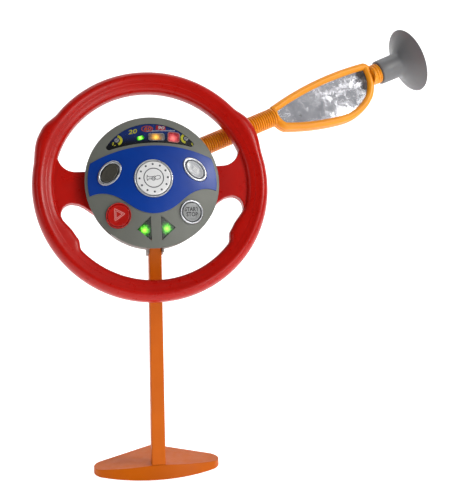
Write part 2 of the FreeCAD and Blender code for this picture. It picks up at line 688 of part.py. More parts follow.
def panel_wire():
    """Bow-tie panel: arched top, sides on a circle, waved lower edge."""
    side_x, side_u = PANEL_TOP_SIDE
    top = Part.Arc(Vec(-side_x, side_u, 0), Vec(0, PANEL_TOP, 0), Vec(side_x, side_u, 0)).toShape()
    low_x, low_u = PANEL_LOW[0]
    right = Part.Arc(Vec(side_x, side_u, 0), Vec(PANEL_R, 0, 0), Vec(low_x, low_u, 0)).toShape()
    left = Part.Arc(Vec(-low_x, low_u, 0), Vec(-PANEL_R, 0, 0), Vec(-side_x, side_u, 0)).toShape()
    wave = PANEL_LOW + [(-x, u) for x, u in reversed(PANEL_LOW[:-1])]
    curve = Part.BSplineCurve()
    curve.interpolate([Vec(x, u, 0) for x, u in wave])
    return Part.Wire([top, right, curve.toShape(), left])


def skin(solid, low, high):
    """The part of a prism between two copies of the dome."""
    return solid.common(dome(high)).cut(dome(low))


def button_hole(spec):
    return oval(spec["at"], wider(spec["bezel"], SEAT_FIT), spec["turn"], 0, TOP)


def make_hub_face():
    outer = rod(FACE_R, FACE_BASE, TOP).common(dome(0))
    rim_edges = [e for e in outer.Edges if abs(e.BoundBox.ZMax - e.BoundBox.ZMin) < NEAR
                 and e.BoundBox.ZMax > FACE_BASE + NEAR]
    outer = outer.makeFillet(FACE_EDGE_R, rim_edges)
    hollow = rod(CASE_R - CASE_WALL, 0, TOP).common(dome(-FACE_WALL))
    face = outer.cut(hollow)
    for x, u in POSTS:
        face = face.fuse(rod(POST_R, BOARD_TOP, dome_height(0), x, u).common(dome(-FACE_WALL / 2)))
    for x, u in POSTS:
        face = face.cut(rod(CASE_SCREW_R, BOARD_TOP - 1, BOARD_TOP + CASE_SCREW_GRIP, x, u))
    for spec in BUTTONS.values():
        face = face.cut(button_hole(spec))
    face = face.cut(dash_shape(0, FACE_BASE))
    arrow = prism(turn_wire(0), FACE_BASE - 4, TOP)
    return face.cut([arrow, mirrored(arrow)]).removeSplitter()


def make_blue_panel():
    panel = skin(prism(panel_wire(), 0, TOP), 0.0, PANEL_UP)
    for spec in BUTTONS.values():
        panel = panel.cut(button_hole(spec))
    return panel


def bezel_base(spec):
    """Underside of a bezel: just below the shell at the bezel's outermost point."""
    reach = math.hypot(*spec["at"]) + max(spec["bezel"])
    return dome_height(min(reach, FACE_R - 3), -FACE_WALL) - HEAD_FIT


def make_bezel(spec):
    low = bezel_base(spec)
    ring = oval(spec["at"], spec["bezel"], spec["turn"], low, TOP)
    ring = ring.cut(oval(spec["at"], wider(spec["cap"], BUTTON_FIT), spec["turn"], low - 1, TOP))
    return ring.common(dome(spec["bezel_up"]))


def make_cap(spec):
    """Button cap with a flange that stops it under the bezel, and a push post."""
    top = bezel_base(spec) - CAP_GAP
    cap = oval(spec["at"], spec["cap"], spec["turn"], top - CAP_ROOT, TOP)
    cap = cap.common(dome(spec["cap_up"]))
    flange = oval(spec["at"], wider(spec["cap"], FLANGE_W), spec["turn"], top - FLANGE_T, top)
    post_end = BOARD_TOP + SWITCH_H + BUTTON_TRAVEL + CAP_GAP
    post = rod(PUSH_POST_R, min(post_end, top - FLANGE_T), top, *spec["at"])
    return cap.fuse([flange, post]).removeSplitter()


def make_rubber(spec):
    """Soft return dome under one cap, round its switch."""
    top = bezel_base(spec) - CAP_GAP - FLANGE_T - FACE_GAP
    x, u = spec["at"]
    shell = spin([(RUBBER_R - RUBBER_WALL, BOARD_TOP), (RUBBER_R, BOARD_TOP),
                  (RUBBER_R - RUBBER_TAPER, top), (RUBBER_R - RUBBER_TAPER - RUBBER_WALL, top)])
    shell.translate(Vec(x, u, 0))
    return shell


def make_switches():
    half = SWITCH_SIDE / 2
    return group([block(x - half, x + half, u - half, u + half, BOARD_TOP, BOARD_TOP + SWITCH_H)
                  for x, u in [spec["at"] for spec in BUTTONS.values()]])


def make_circuit_board():
    board = rod(BOARD_R, BOARD, BOARD_TOP)
    for x, u in POSTS:
        board = board.cut(rod(CASE_SCREW_R + 3 * SEAT_FIT, BOARD - 1, BOARD_TOP + 1, x, u))
    return board


def led_places():
    lamps = [centre for centre, size in LAMPS.values()]
    arrow = (TURN_NEAR * 2 + TURN_FAR) / 3
    return lamps + [(-arrow, TURN_MID), (arrow, TURN_MID)]


def make_leds():
    bulbs = []
    for x, u in led_places():
        body = rod(LED_R, BOARD_TOP, BOARD_TOP + LED_H - LED_R / 2, x, u)
        tip = rod(LED_R * LED_TIP, BOARD_TOP, BOARD_TOP + LED_H, x, u)
        bulbs.append(body.fuse(tip))
    return group(bulbs)


def make_turn_lenses():
    lens = prism(turn_wire(-SEAT_FIT), 0, TOP)
    lens = skin(lens, -TURN_SINK - LENS_T, -TURN_SINK)
    return group([lens, mirrored(lens)])


def label_top():
    return -FACE_WALL - LABEL_GAP


def lamp_block(centre, size, low, high):
    (x, u), (width, height) = centre, size
    solid = block(x - width / 2, x + width / 2, u - height / 2, u + height / 2, low, high)
    corners = [e for e in solid.Edges if abs(e.Length - (high - low)) < NEAR]
    return solid.makeFillet(min(width, height) * LAMP_CORNER, corners)


def make_lamp(name):
    centre, size = LAMPS[name]
    solid = lamp_block(centre, size, FACE_BASE, TOP)
    return skin(solid, label_top() - LABEL_T, label_top() + LAMP_H)


def make_dash_label():
    label = skin(dash_shape(LABEL_LIP, 0), label_top() - LABEL_T, label_top())
    for centre, size in LAMPS.values():
        label = label.cut(lamp_block(centre, wider(size, 2 * SEAT_FIT), 0, TOP))
    for x, u in DIAL_SCREWS:
        label = label.cut(rod(DIAL_SCREW_R / 2, 0, TOP, x, u))
    return label


def make_dash_window():
    return skin(dash_shape(-SEAT_FIT, 0), -WINDOW_DEPTH - WINDOW_T, -WINDOW_DEPTH)


def make_dial_screws():
    screws = []
    for x, u in DIAL_SCREWS:
        head_base = dome_height(math.hypot(x, u) - DIAL_SCREW_R, label_top())
        head = rod(DIAL_SCREW_R, 0, TOP, x, u)
        head = skin(head, label_top(), label_top() + DIAL_SCREW_H)
        shank = rod(DIAL_SCREW_R / 2, head_base - DIAL_SCREW_L, head_base, x, u).common(dome(label_top()))
        screws.append(head.fuse(shank))
    return group(screws)


def make_retaining_washer():
    low = SPOKE_FRONT + PLAY
    washer = tube(WASHER_R, BOSS_BORE_R, low, low + WASHER_T)
    for x, u in washer_screw_places():
        washer = washer.cut(rod(WASHER_SCREW_R + WASHER_SCREW_FIT, low - OVER, low + WASHER_T + OVER,
                                x, u))
    return washer


def make_washer_screws():
    seat = SPOKE_FRONT + PLAY + WASHER_T
    return group([rod(WASHER_SCREW_R, seat - WASHER_SCREW_L, seat, x, u).fuse(
        rod(WASHER_SCREW_HEAD_R, seat, seat + WASHER_SCREW_HEAD_H, x, u))
        for x, u in washer_screw_places()])


# ---- battery bay and speaker --------------------------------------------------------------------
def cell_rows():
    return [(k - 1) * CELL_PITCH for k in range(3)]


def cell_height():
    return DECK - DECK_T - CELL_R - CELL_DROP


def make_batteries():
    cells = []
    for k, u in enumerate(cell_rows()):
        way = 1 if k % 2 else -1
        start = Vec(-way * (CELL_L / 2 - CELL_CAP_GAP), u, cell_height())
        whole = CELL_L - CELL_CAP_GAP
        body = Part.makeCylinder(CELL_R, whole - CELL_NUB_L, start, Vec(way, 0, 0))
        nub = Part.makeCylinder(CELL_NUB_R, whole, start, Vec(way, 0, 0))
        cells.append(body.fuse(nub))
    return group(cells)


def make_battery_contacts():
    """Flat plate at each cap end and a stubby coil, drawn as rings, at each flat end."""
    pieces = []
    for k, u in enumerate(cell_rows()):
        way = 1 if k % 2 else -1
        cap_face = way * CELL_L / 2
        near, far = sorted([cap_face, cap_face + way * PLATE_T])
        plate = block(near, far, u - PLATE_HALF, u + PLATE_HALF, cell_height() - PLATE_HALF,
                      cell_height() + PLATE_HALF)
        wall_end = Vec(-way * (BAY_HALF_X - COIL_FIT), u, cell_height())
        length = BAY_HALF_X - COIL_FIT - (CELL_L / 2 - CELL_CAP_GAP)
        coil = Part.makeCone(COIL_R, COIL_TIP_R, length, wall_end, Vec(way, 0, 0))
        bore = Part.makeCylinder(COIL_BORE_R, length, wall_end, Vec(way, 0, 0))
        pieces += [plate, coil.cut(bore)]
    return group(pieces)


def make_battery_door():
    door = door_recess(0.0, DOOR_T - SEAT_FIT)
    hole = rod(DOOR_SCREW_R + SEAT_FIT, CASE_BACK - 1, CASE_BACK + DOOR_T + 1, 0, DOOR_SCREW_U)
    head = rod(DOOR_SCREW_HEAD_R + HEAD_FIT, CASE_BACK - 1, CASE_BACK + DOOR_SCREW_HEAD_H, 0, DOOR_SCREW_U)
    return door.cut([hole, head])


def make_door_screw():
    return screw(DOOR_SCREW_R - SEAT_FIT / 2, DOOR_SCREW_HEAD_R, DOOR_SCREW_HEAD_H,
                 DOOR_T - DOOR_SCREW_HEAD_H + DOOR_SCREW_L, CASE_BACK + DOOR_SCREW_HEAD_H, 0,
                 DOOR_SCREW_U)


def make_speaker():
    low = CASE_BACK + CASE_FLOOR
    frame = rod(SPEAKER_R, low, low + SPEAKER_FRAME_T, 0, SPEAKER_U)
    return frame.fuse(rod(SPEAKER_R * SPEAKER_MAGNET, low, low + SPEAKER_H, 0, SPEAKER_U))


# ---- wheel --------------------------------------------------------------------------------------
def rim_section(shrink):
    """Half section of the rim in front of its middle plane, as a face; rolled outside, coved inside."""
    low_r = RIM_IN_R + shrink
    high_r = RIM_R - shrink
    top = RIM_TOP - shrink
    crease = Vec(RIM_IN_R + CREASE_IN + shrink / 2, 0, top - CREASE_DROP)
    start = Vec(low_r, 0, 0)
    wall_top = Vec(low_r + 0.4, 0, top * 0.3)
    cove_mid = Vec((low_r + crease.x) / 2 - 1.2, 0, top * 0.68)
    crown = Vec(RIM_R - RIM_W * 0.36, 0, top)
    outer = Vec(high_r, 0, 0)
    edges = [Part.makeLine(start, wall_top), Part.Arc(wall_top, cove_mid, crease).toShape(),
             Part.Arc(crease, Vec((crease.x + crown.x) / 2, 0, top - CREASE_DROP * 0.3), crown).toShape(),
             Part.Arc(crown, Vec(high_r - 2.4, 0, top * 0.62), outer).toShape(),
             Part.makeLine(outer, start)]
    return Part.Face(Part.Wire(edges))


def ball(radius, angle, radial, tangent, thick):
    """Ellipsoid on the rim at an angle, for a grip or a thumb rest."""
    matrix = FreeCAD.Matrix()
    matrix.scale(radial, tangent, thick)
    shape = Part.makeSphere(1.0).transformGeometry(matrix)
    shape.translate(Vec(radius, 0, 0))
    shape.rotate(Vec(), Z_AXIS, angle)
    return shape


def rim_lumps():
    """Grips outside and thumb rests inside, on both sides."""
    middle = RIM_R - RIM_W * 0.36
    grip = ball(middle, GRIP_ANGLE, RIM_R + GRIP_OUT - middle, GRIP_LEN / 2, RIM_TOP * 0.92)
    inner = RIM_IN_R + RIM_W * 0.45
    thumb = ball(inner, THUMB_ANGLE, inner - RIM_IN_R + THUMB_IN, THUMB_LEN / 2, RIM_TOP * 0.8)
    return [grip, thumb, mirrored(grip), mirrored(thumb)]


def spoke_plate(low, high):
    """Right-hand spoke, from the hub into the rim, between two heights."""
    def on_rim(angle):
        turn = math.radians(angle)
        return Vec(RIM_IN_R * math.cos(turn), RIM_IN_R * math.sin(turn), 0)
    root = SHIELD_R - SPOKE_ROOT_IN
    inside = RIM_IN_R + RIM_WALL * 0.7
    upper, lower = on_rim(SPOKE_TOP_ANGLE), on_rim(SPOKE_LOW_ANGLE)
    outer = inside + SPOKE_IN_RIM
    (top_x, top_rise), (low_x, low_rise) = SPOKE_CURVE_TOP, SPOKE_CURVE_LOW
    waist = Vec(SPOKE_WAIST_X, SPOKE_TOP, 0)
    low_waist = Vec(SPOKE_WAIST_X, -SPOKE_LOW - SPOKE_WAIST_FALL, 0)
    corners = [upper, Vec(outer, upper.y, 0), Vec(outer, lower.y, 0), lower]
    ends = [low_waist, Vec(root, -SPOKE_ROOT_LOW, 0), Vec(root, SPOKE_TOP - 0.5, 0), waist]
    edges = [Part.Arc(waist, Vec(top_x, SPOKE_TOP + top_rise, 0), upper).toShape()]
    edges += [Part.makeLine(start, end) for start, end in zip(corners, corners[1:])]
    edges += [Part.Arc(lower, Vec(low_x, -SPOKE_LOW + low_rise, 0), low_waist).toShape()]
    edges += [Part.makeLine(start, end) for start, end in zip(ends, ends[1:])]
    plate = prism(Part.Wire(edges), low, high)
    return plate.common(rod(inside, low - 1, high + 1)).cut(rod(root, low - 1, high + 1))


def wheel_screw_places():
    middle = RIM_R - RIM_W / 2
    rim = [(middle * math.cos(math.radians(a)), middle * math.sin(math.radians(a)))
           for a in WHEEL_SCREW_ANGLES]
    return rim, [(-SPOKE_SCREW_X, 0.0), (SPOKE_SCREW_X, 0.0)]


def rim_half(front):
    """Hollow half of the rim with its lumps and screw bosses."""
    section = rim_section(0.0)
    whole = section.revolve(Vec(), Z_AXIS, 360)
    whole = whole.fuse([lump.common(above(0)) for lump in rim_lumps()])
    hollow = rim_section(RIM_WALL).revolve(Vec(), Z_AXIS, 360)
    half = whole.cut(hollow)
    rim, _ = wheel_screw_places()
    half = half.fuse([rod(WHEEL_POST_R, 0, RIM_TOP - WHEEL_POST_END, x, u) for x, u in rim])
    return half if front else half.mirror(Vec(), Z_AXIS)


def make_wheel_front():
    spoke = spoke_plate(0, SPOKE_FRONT)
    bar = block(-SHIELD_R + 5, SHIELD_R - 5, -BRIDGE_HALF, BRIDGE_HALF, 0, SPOKE_FRONT)
    ring = rod(WHEEL_RING_R, WHEEL_RING_BACK, SPOKE_FRONT)
    wheel = rim_half(True).fuse([spoke, mirrored(spoke), bar, ring])
    wheel = wheel.cut(rod(BOSS_R + RUN_FIT, -FAR, FAR))
    rim, spokes = wheel_screw_places()
    for places, deep in ((rim, WHEEL_SCREW_TOP), (spokes, SPOKE_FRONT - OVER)):
        for x, u in places:
            wheel = wheel.cut(rod(WHEEL_SCREW_R, -OVER, deep, x, u))
    return wheel.removeSplitter()


def make_wheel_back():
    spoke = spoke_plate(SPOKE_BACK, 0)
    wheel = rim_half(False).fuse([spoke, mirrored(spoke)])
    rim, spokes = wheel_screw_places()
    for places, seat in ((rim, WHEEL_SCREW_SEAT), (spokes, SPOKE_SCREW_SEAT)):
        for x, u in places:
            wheel = wheel.cut(rod(WHEEL_SCREW_R + SEAT_FIT, -FAR, OVER, x, u))
            wheel = wheel.cut(rod(WHEEL_SCREW_HEAD_R + HEAD_FIT, -FAR, seat, x, u))
    return wheel.removeSplitter()


def make_wheel_screws():
    rim, spokes = wheel_screw_places()
    screws = []
    for places, length, seat in ((rim, WHEEL_SCREW_L, WHEEL_SCREW_SEAT),
                                 (spokes, SPOKE_SCREW_L, SPOKE_SCREW_SEAT)):
        screws += [screw(WHEEL_SCREW_R, WHEEL_SCREW_HEAD_R, WHEEL_SCREW_HEAD_H, length, seat, x, u)
                   for x, u in places]
    return group(screws)


def make_spoke_shield(wheel_solids):
    """Curved screen behind each spoke gap of the casing; it turns with the wheel."""
    start, end = SHIELD_ANGLES
    arc = sector(SHIELD_R, start, end, SPOKE_BACK, SHIELD_FRONT).cut(rod(SHIELD_R - SHIELD_T, -FAR, FAR))
    foot = sector(SHIELD_R - SHIELD_T, -SHIELD_FOOT_HALF, SHIELD_FOOT_HALF, SPOKE_FRONT,
                  SPOKE_FRONT + SHIELD_FOOT_T)
    foot = foot.cut(rod(SHIELD_R - SHIELD_T - SHIELD_FOOT_W, -FAR, FAR))
    screen = arc.fuse(foot)
    return group([side.cut(wheel_solids) for side in (screen, mirrored(screen))])


# ---- bendable arm -------------------------------------------------------------------------------
def coned_end(radius, relief):
    return radius * math.tan(math.radians(relief))


def ribbed(start, length, radius, ribs, relief, depth=RIB_DEPTH, cone_start=True, cone_end=True):
    """Ribbed round piece along x; coned ends leave room for the next piece to bend."""
    back = coned_end(radius, relief)
    first = start + (back if cone_start else 0) + FACE_GAP
    last = start + length - (back if cone_end else 0) - FACE_GAP
    pitch = (last - first) / (ribs - RIB_TAIL)
    groove, rise = RIB_GROOVE
    points = [(0, start + FACE_GAP), (radius, first)]
    for k in range(ribs):
        crest = first + k * pitch
        points += [(radius, crest + pitch * RIB_CREST)]
        if k < ribs - 1:
            points += [(radius - depth, crest + pitch * groove),
                       (radius - depth, crest + pitch * rise), (radius, crest + pitch)]
    points[-1] = (radius, last)
    points += [(0, start + length - FACE_GAP)]
    return spin(points, X_AXIS)


def make_segment(number):
    start = ARM_START + (number - 1) * SEG_L
    last = number == SEGMENTS
    piece = ribbed(start, SEG_L, ARM_R, RIBS, BEND_RELIEF, cone_end=not last)
    return piece.cut(arm_rod(WIRE_R + SEAT_FIT, start - 1, start + SEG_L + 1))


def make_arm_plug():
    back = coned_end(PLUG_R, BEND_RELIEF)
    end = ARM_START - FACE_GAP
    flange_end = PLUG_END + PLUG_FLANGE_T
    plug = spin([(0, PLUG_END), (PLUG_FLANGE_R, PLUG_END), (PLUG_FLANGE_R, flange_end - SEAT_FIT),
                 (PLUG_R, flange_end - SEAT_FIT), (PLUG_R, end - back), (0, end)], X_AXIS)
    return plug.cut(arm_rod(WIRE_R + SEAT_FIT, PLUG_END + 2, ARM_START + 1))


def make_arm_wire():
    return arm_rod(WIRE_R, PLUG_END + 2.5, ARM_END - 1)


# ---- mirror -------------------------------------------------------------------------------------
def mirror_wire(extra):
    wire = arc_wire(MIRROR_ARCS)
    return grown(wire, extra) if extra else wire


def make_mirror_frame():
    frame = prism(mirror_wire(0), 0, MIRROR_FRONT)
    top_edges = [e for e in frame.Edges if e.BoundBox.ZMin > MIRROR_FRONT - NEAR]
    frame = frame.makeFillet(MIRROR_FRONT_R, top_edges)
    frame = frame.cut(prism(mirror_wire(-BEZEL_W), -1, TOP))
    return frame.cut(prism(mirror_wire(-BEZEL_W + FILM_LAP + SEAT_FIT), -1, FILM_TOP))


def make_mirror_film():
    return prism(mirror_wire(-BEZEL_W + FILM_LAP), FILM_TOP - FILM_T, FILM_TOP)


def make_mirror_back():
    shell = prism(mirror_wire(0), MIRROR_BACK, 0)
    low_edges = [e for e in shell.Edges if e.BoundBox.ZMax < MIRROR_BACK + NEAR]
    shell = shell.makeFillet(MIRROR_BACK_R, low_edges)
    hollow = prism(mirror_wire(-MIRROR_WALL - MIRROR_HOLLOW_IN), MIRROR_BACK + MIRROR_WALL, 1)
    neck = arm_rod(ARM_R, ARM_END + FACE_GAP, ARM_END + MIRROR_NECK_L)
    tail = ribbed(NECK_START - MIRROR_NECK_L, MIRROR_NECK_L, NECK_R, 2, NECK_RELIEF, depth=0.0,
                  cone_start=False)
    frame_room = prism(mirror_wire(0), 0, TOP)
    shell = shell.cut(hollow).fuse([neck.cut(frame_room), tail.cut(frame_room)])
    for x, y in MIRROR_POSTS:
        shell = shell.fuse(rod(MIRROR_POST_R, MIRROR_BACK + OVER, FILM_TOP - FILM_T - MIRROR_POST_FIT,
                               x, y))
    for x, y in MIRROR_POSTS:
        seat = MIRROR_BACK + MIRROR_SCREW_SINK
        shell = shell.cut(rod(MIRROR_SCREW_R, MIRROR_BACK - 1, seat + MIRROR_SCREW_L, x, y))
        shell = shell.cut(rod(MIRROR_SCREW_HEAD_R + HEAD_FIT, MIRROR_BACK - OVER, seat, x, y))
    return shell


def make_mirror_screws():
    return group([screw(MIRROR_SCREW_R, MIRROR_SCREW_HEAD_R, MIRROR_SCREW_HEAD_H,
                        MIRROR_SCREW_L, MIRROR_BACK + MIRROR_SCREW_SINK, x, y)
                  for x, y in MIRROR_POSTS])


# ---- suction cup --------------------------------------------------------------------------------
def cup_start():
    return NECK_START + NECK_L


def make_neck_rib():
    return ribbed(NECK_START, NECK_L, NECK_R, 1, NECK_RELIEF)


def make_cup_plug():
    start = cup_start() + FACE_GAP
    back = coned_end(CUP_PLUG_R, NECK_RELIEF)
    return spin([(0, start), (CUP_PLUG_R, start + back), (CUP_PLUG_R, start + CUP_PLUG_L),
                 (0, start + CUP_PLUG_L)], X_AXIS)


def make_suction_cup():
    start = cup_start() + coned_end(SLEEVE_R, NECK_RELIEF) + FACE_GAP
    floor = cup_start() + CUP_PLUG_L + CUP_FIT
    root, place, open_r = CUP_OUTSIDE
    mid_r, mid_sink, centre_rim, centre = CUP_INSIDE
    outside = [(CUP_PLUG_R, start), (SLEEVE_R - SLEEVE_EDGE, start), (SLEEVE_R, SLEEVE_END),
               (SLEEVE_R + root, SLEEVE_END + CUP_FLARE * place),
               (CUP_R * open_r, SLEEVE_END + CUP_FLARE), (CUP_R, CUP_END - CUP_LIP)]
    inside = [(CUP_R, CUP_END), (CUP_R * mid_r, CUP_END - mid_sink),
              (SLEEVE_R, SLEEVE_END + centre_rim), (0, SLEEVE_END + centre)]
    return spin(outside + inside + [(0, floor), (CUP_PLUG_R, floor)], X_AXIS)


# ---- the whole toy ------------------------------------------------------------------------------
def main():
    os.makedirs("parts", exist_ok=True)
    save("stem", make_stem())
    save("foot", make_foot())
    save("foot_screws", make_foot_screws())
    save("stem_screws", group([stem_screw(z) for z in STEM_SCREW_HEIGHTS]))
    fixed = {"rear_casing": make_rear_casing(), "casing_screws": make_casing_screws(),
             "hub_face": make_hub_face(), "blue_panel": make_blue_panel(),
             "switches": make_switches(), "circuit_board": make_circuit_board(), "leds": make_leds(),
             "turn_lenses": make_turn_lenses(), "dash_label": make_dash_label(),
             "dash_window": make_dash_window(), "dial_screws": make_dial_screws(),
             "retaining_washer": make_retaining_washer(), "washer_screws": make_washer_screws(),
             "batteries": make_batteries(), "battery_contacts": make_battery_contacts(),
             "battery_door": make_battery_door(), "door_screw": make_door_screw(),
             "speaker": make_speaker()}
    for name in LAMPS:
        fixed[name] = make_lamp(name)
    ovals = [make_bezel(BUTTONS[name]) for name in ("phone", "radio")]
    fixed["oval_bezels"] = group(ovals)
    for name in ("horn", "hazard", "start"):
        fixed[f"{name}_bezel"] = make_bezel(BUTTONS[name])
    for name, spec in BUTTONS.items():
        fixed[f"{name}_cap"] = make_cap(spec)
        fixed[f"{name}_rubber"] = make_rubber(spec)
    front, back = make_wheel_front(), make_wheel_back()
    fixed["wheel_front"] = front
    fixed["wheel_back"] = back
    fixed["wheel_screws"] = make_wheel_screws()
    fixed["spoke_shields"] = make_spoke_shield([front, back])
    for name, shape in fixed.items():
        save(name, shape, HEAD)
    arm = {"arm_plug": make_arm_plug(), "arm_wire": make_arm_wire(),
           "mirror_frame": make_mirror_frame(), "mirror_back": make_mirror_back(),
           "mirror_film": make_mirror_film(), "mirror_screws": make_mirror_screws(),
           "neck_rib": make_neck_rib(), "cup_plug": make_cup_plug(),
           "suction_cup": make_suction_cup()}
    for number in range(1, SEGMENTS + 1):
        arm[f"arm_segment_{number}"] = make_segment(number)
    for name, shape in arm.items():
        save(name, shape, ARM)


main()
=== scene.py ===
import json
import math
import bpy
from mathutils import Matrix, Vector

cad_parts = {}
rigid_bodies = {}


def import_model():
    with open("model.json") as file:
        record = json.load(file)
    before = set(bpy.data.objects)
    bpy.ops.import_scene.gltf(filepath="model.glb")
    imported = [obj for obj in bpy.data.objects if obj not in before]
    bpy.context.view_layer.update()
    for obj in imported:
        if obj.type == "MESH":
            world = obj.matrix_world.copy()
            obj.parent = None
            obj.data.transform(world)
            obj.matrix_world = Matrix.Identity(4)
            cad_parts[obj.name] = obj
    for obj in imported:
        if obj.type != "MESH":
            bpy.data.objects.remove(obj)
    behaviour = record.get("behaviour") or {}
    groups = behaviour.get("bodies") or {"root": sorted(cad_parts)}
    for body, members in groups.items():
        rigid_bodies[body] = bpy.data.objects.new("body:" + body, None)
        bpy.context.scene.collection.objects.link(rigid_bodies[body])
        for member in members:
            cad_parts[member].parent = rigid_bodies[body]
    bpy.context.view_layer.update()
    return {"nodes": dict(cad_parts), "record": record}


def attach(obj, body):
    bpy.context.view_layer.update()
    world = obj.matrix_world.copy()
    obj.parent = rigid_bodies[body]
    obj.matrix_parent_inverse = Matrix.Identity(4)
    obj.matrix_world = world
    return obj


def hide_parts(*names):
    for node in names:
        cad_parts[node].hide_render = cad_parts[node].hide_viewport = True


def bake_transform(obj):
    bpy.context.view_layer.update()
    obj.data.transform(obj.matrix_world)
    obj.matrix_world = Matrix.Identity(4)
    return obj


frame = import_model()

MM = 0.001
JOINTS = {joint["name"]: joint for joint in frame["record"]["behaviour"]["joints"]}


def frame_at(origin, x_axis, z_axis):
    """A frame in the row frame, in metres."""
    z = Vector(z_axis).normalized()
    x = Vector(x_axis)
    x = (x - x.dot(z) * z).normalized()
    made = Matrix((x, z.cross(x), z)).transposed().to_4x4()
    made.translation = origin
    return made


# Head: x right, y up the wheel, z to the driver. Arm: x along the arm from its first bend.
steering = JOINTS["steering"]
HEAD = frame_at(steering["pos_m"], (1, 0, 0), steering["axis"])
first_bend = JOINTS["arm_bend_1"]
arm_out = Vector(JOINTS["arm_bend_2"]["axis"]).cross(Vector(first_bend["axis"]))
ARM = frame_at(first_bend["pos_m"], arm_out, first_bend["axis"])
BENDS = [JOINTS["arm_bend_%d" % number] for number in range(1, 7)]
BEND_STEP = (Vector(BENDS[1]["pos_m"]) - Vector(BENDS[0]["pos_m"])).length / MM
NECK_AT = (Vector(JOINTS["neck_turn"]["pos_m"]) - ARM.translation).length / MM
NECK_STEP = (Vector(JOINTS["cup_tilt"]["pos_m"]) - ARM.translation).length / MM - NECK_AT


# ---- materials ---------------------------------------------------------------------------------
def colour(code):
    """Linear colour of an sRGB hex code."""
    parts = [int(code[k:k + 2], 16) / 255 for k in (0, 2, 4)]
    return tuple(p / 12.92 if p <= 0.04045 else ((p + 0.055) / 1.055) ** 2.4 for p in parts) + (1.0,)


def add(tree, kind, inputs, output=0, **settings):
    """Adds a shader node and gives back one of its outputs. An input is a value or another node's
    output."""
    made = tree.nodes.new("ShaderNode" + kind)
    for name, value in settings.items():
        setattr(made, name, value)
    for name, value in inputs.items():
        if isinstance(value, bpy.types.NodeSocket):
            tree.links.new(value, made.inputs[name])
        else:
            made.inputs[name].default_value = value
    return made.outputs[output]


def start_material(name, **fixed):
    """A new material: itself, its tree and the object's own coordinates in metres. Fixed values go on
    its shader."""
    made = bpy.data.materials.new(name)
    made.use_nodes = True
    tree = made.node_tree
    for label, value in fixed.items():
        tree.nodes["Principled BSDF"].inputs[label.replace("_", " ")].default_value = value
    return made, tree, add(tree, "TexCoord", {}, "Object")


def connect(tree, **links):
    """Links outputs to the shader's inputs."""
    for label, output in links.items():
        tree.links.new(output, tree.nodes["Principled BSDF"].inputs[label.replace("_", " ")])


def cells(size_mm):
    """Texture scale whose cells are size_mm across."""
    return 1 / (size_mm * MM)


def surface(tree, place, edge_mm, grain, cell_mm, deep_mm, detail, stretch=1.0):
    """Surface normal: edges rounded by edge_mm, then a texture of strength grain with cells of cell_mm,
    drawn out by stretch. A 0 leaves either out."""
    links = {}
    if edge_mm:
        links["Normal"] = add(tree, "Bevel", {"Radius": edge_mm * MM}, samples=4)
    if grain:
        if stretch != 1.0:
            place = add(tree, "Mapping", {"Vector": place, "Scale": (1.0, stretch, 1.0)})
        height = add(tree, "TexNoise", {"Vector": place, "Scale": cells(cell_mm), "Detail": detail})
        links["Normal"] = add(tree, "Bump", {"Height": height, "Strength": grain, "Distance": deep_mm * MM,
                                             **links})
    connect(tree, **links)


def plastic(name, code, dark, rough, grain=0.10, grain_mm=0.35, edge_mm=0.3, coat=0.0, soft=0.0,
            shine=0.4, groove_shade=None):
    """Injection-moulded plastic: colour that drifts with the flow, fine pigment specks, uneven gloss,
    hairline scuffs, the mould's texture, and edges rounded by edge_mm. Painted shade: grooves and
    recesses found by ambient occlusion are darkened to a given shade colour."""
    made, tree, place = start_material(name, IOR=1.53, Specular_IOR_Level=shine, Coat_Weight=coat,
                                       Coat_Roughness=0.08, Subsurface_Weight=soft, Subsurface_Scale=1.0,
                                       Subsurface_Radius=(3 * MM, 1.6 * MM, 0.7 * MM))
    flow = add(tree, "TexNoise", {"Vector": place, "Scale": cells(45.0), "Detail": 3.0})
    drift = add(tree, "MapRange", {0: flow, 1: 0.3, 2: 0.7})
    base = add(tree, "Mix", {0: drift, 6: colour(code), 7: colour(dark)}, 2, data_type="RGBA")
    pigment = add(tree, "TexNoise", {"Vector": place, "Scale": cells(1.3), "Detail": 2.0})
    speck = add(tree, "MapRange", {0: pigment, 1: 0.45, 2: 0.75, 3: 0.0, 4: 0.18})
    base = add(tree, "Mix", {0: speck, 6: base, 7: colour(dark)}, 2, data_type="RGBA")
    if groove_shade:
        # painted shade: where ambient occlusion finds a recess, the colour is darkened to the shade colour
        open_air = add(tree, "AmbientOcclusion", {"Distance": 2.4 * MM}, 1, samples=8)
        painted_shade_mask = add(tree, "MapRange", {0: open_air, 1: 0.35, 2: 0.8, 3: 1.0, 4: 0.0})
        base = add(tree, "Mix", {0: painted_shade_mask, 6: base, 7: colour(groove_shade)}, 2, data_type="RGBA")
    along = add(tree, "Mapping", {"Vector": place, "Scale": (1.0, 9.0, 1.0)})
    rubbed = add(tree, "TexNoise", {"Vector": along, "Scale": cells(5.0), "Detail": 6.0})
    scuffs = add(tree, "MapRange", {0: rubbed, 1: 0.58, 2: 0.72, 3: 0.0, 4: 0.02})
    haze = add(tree, "TexNoise", {"Vector": place, "Scale": cells(9.0), "Detail": 4.0})
    gloss = add(tree, "MapRange", {0: haze, 1: 0.3, 2: 0.7, 3: rough * 0.85, 4: rough * 1.18})
    gloss = add(tree, "Math", {0: gloss, 1: scuffs}, operation="ADD")
    connect(tree, Base_Color=base, Roughness=gloss)
    surface(tree, place, edge_mm, grain, grain_mm, deep_mm=0.1, detail=2.0)
    return made


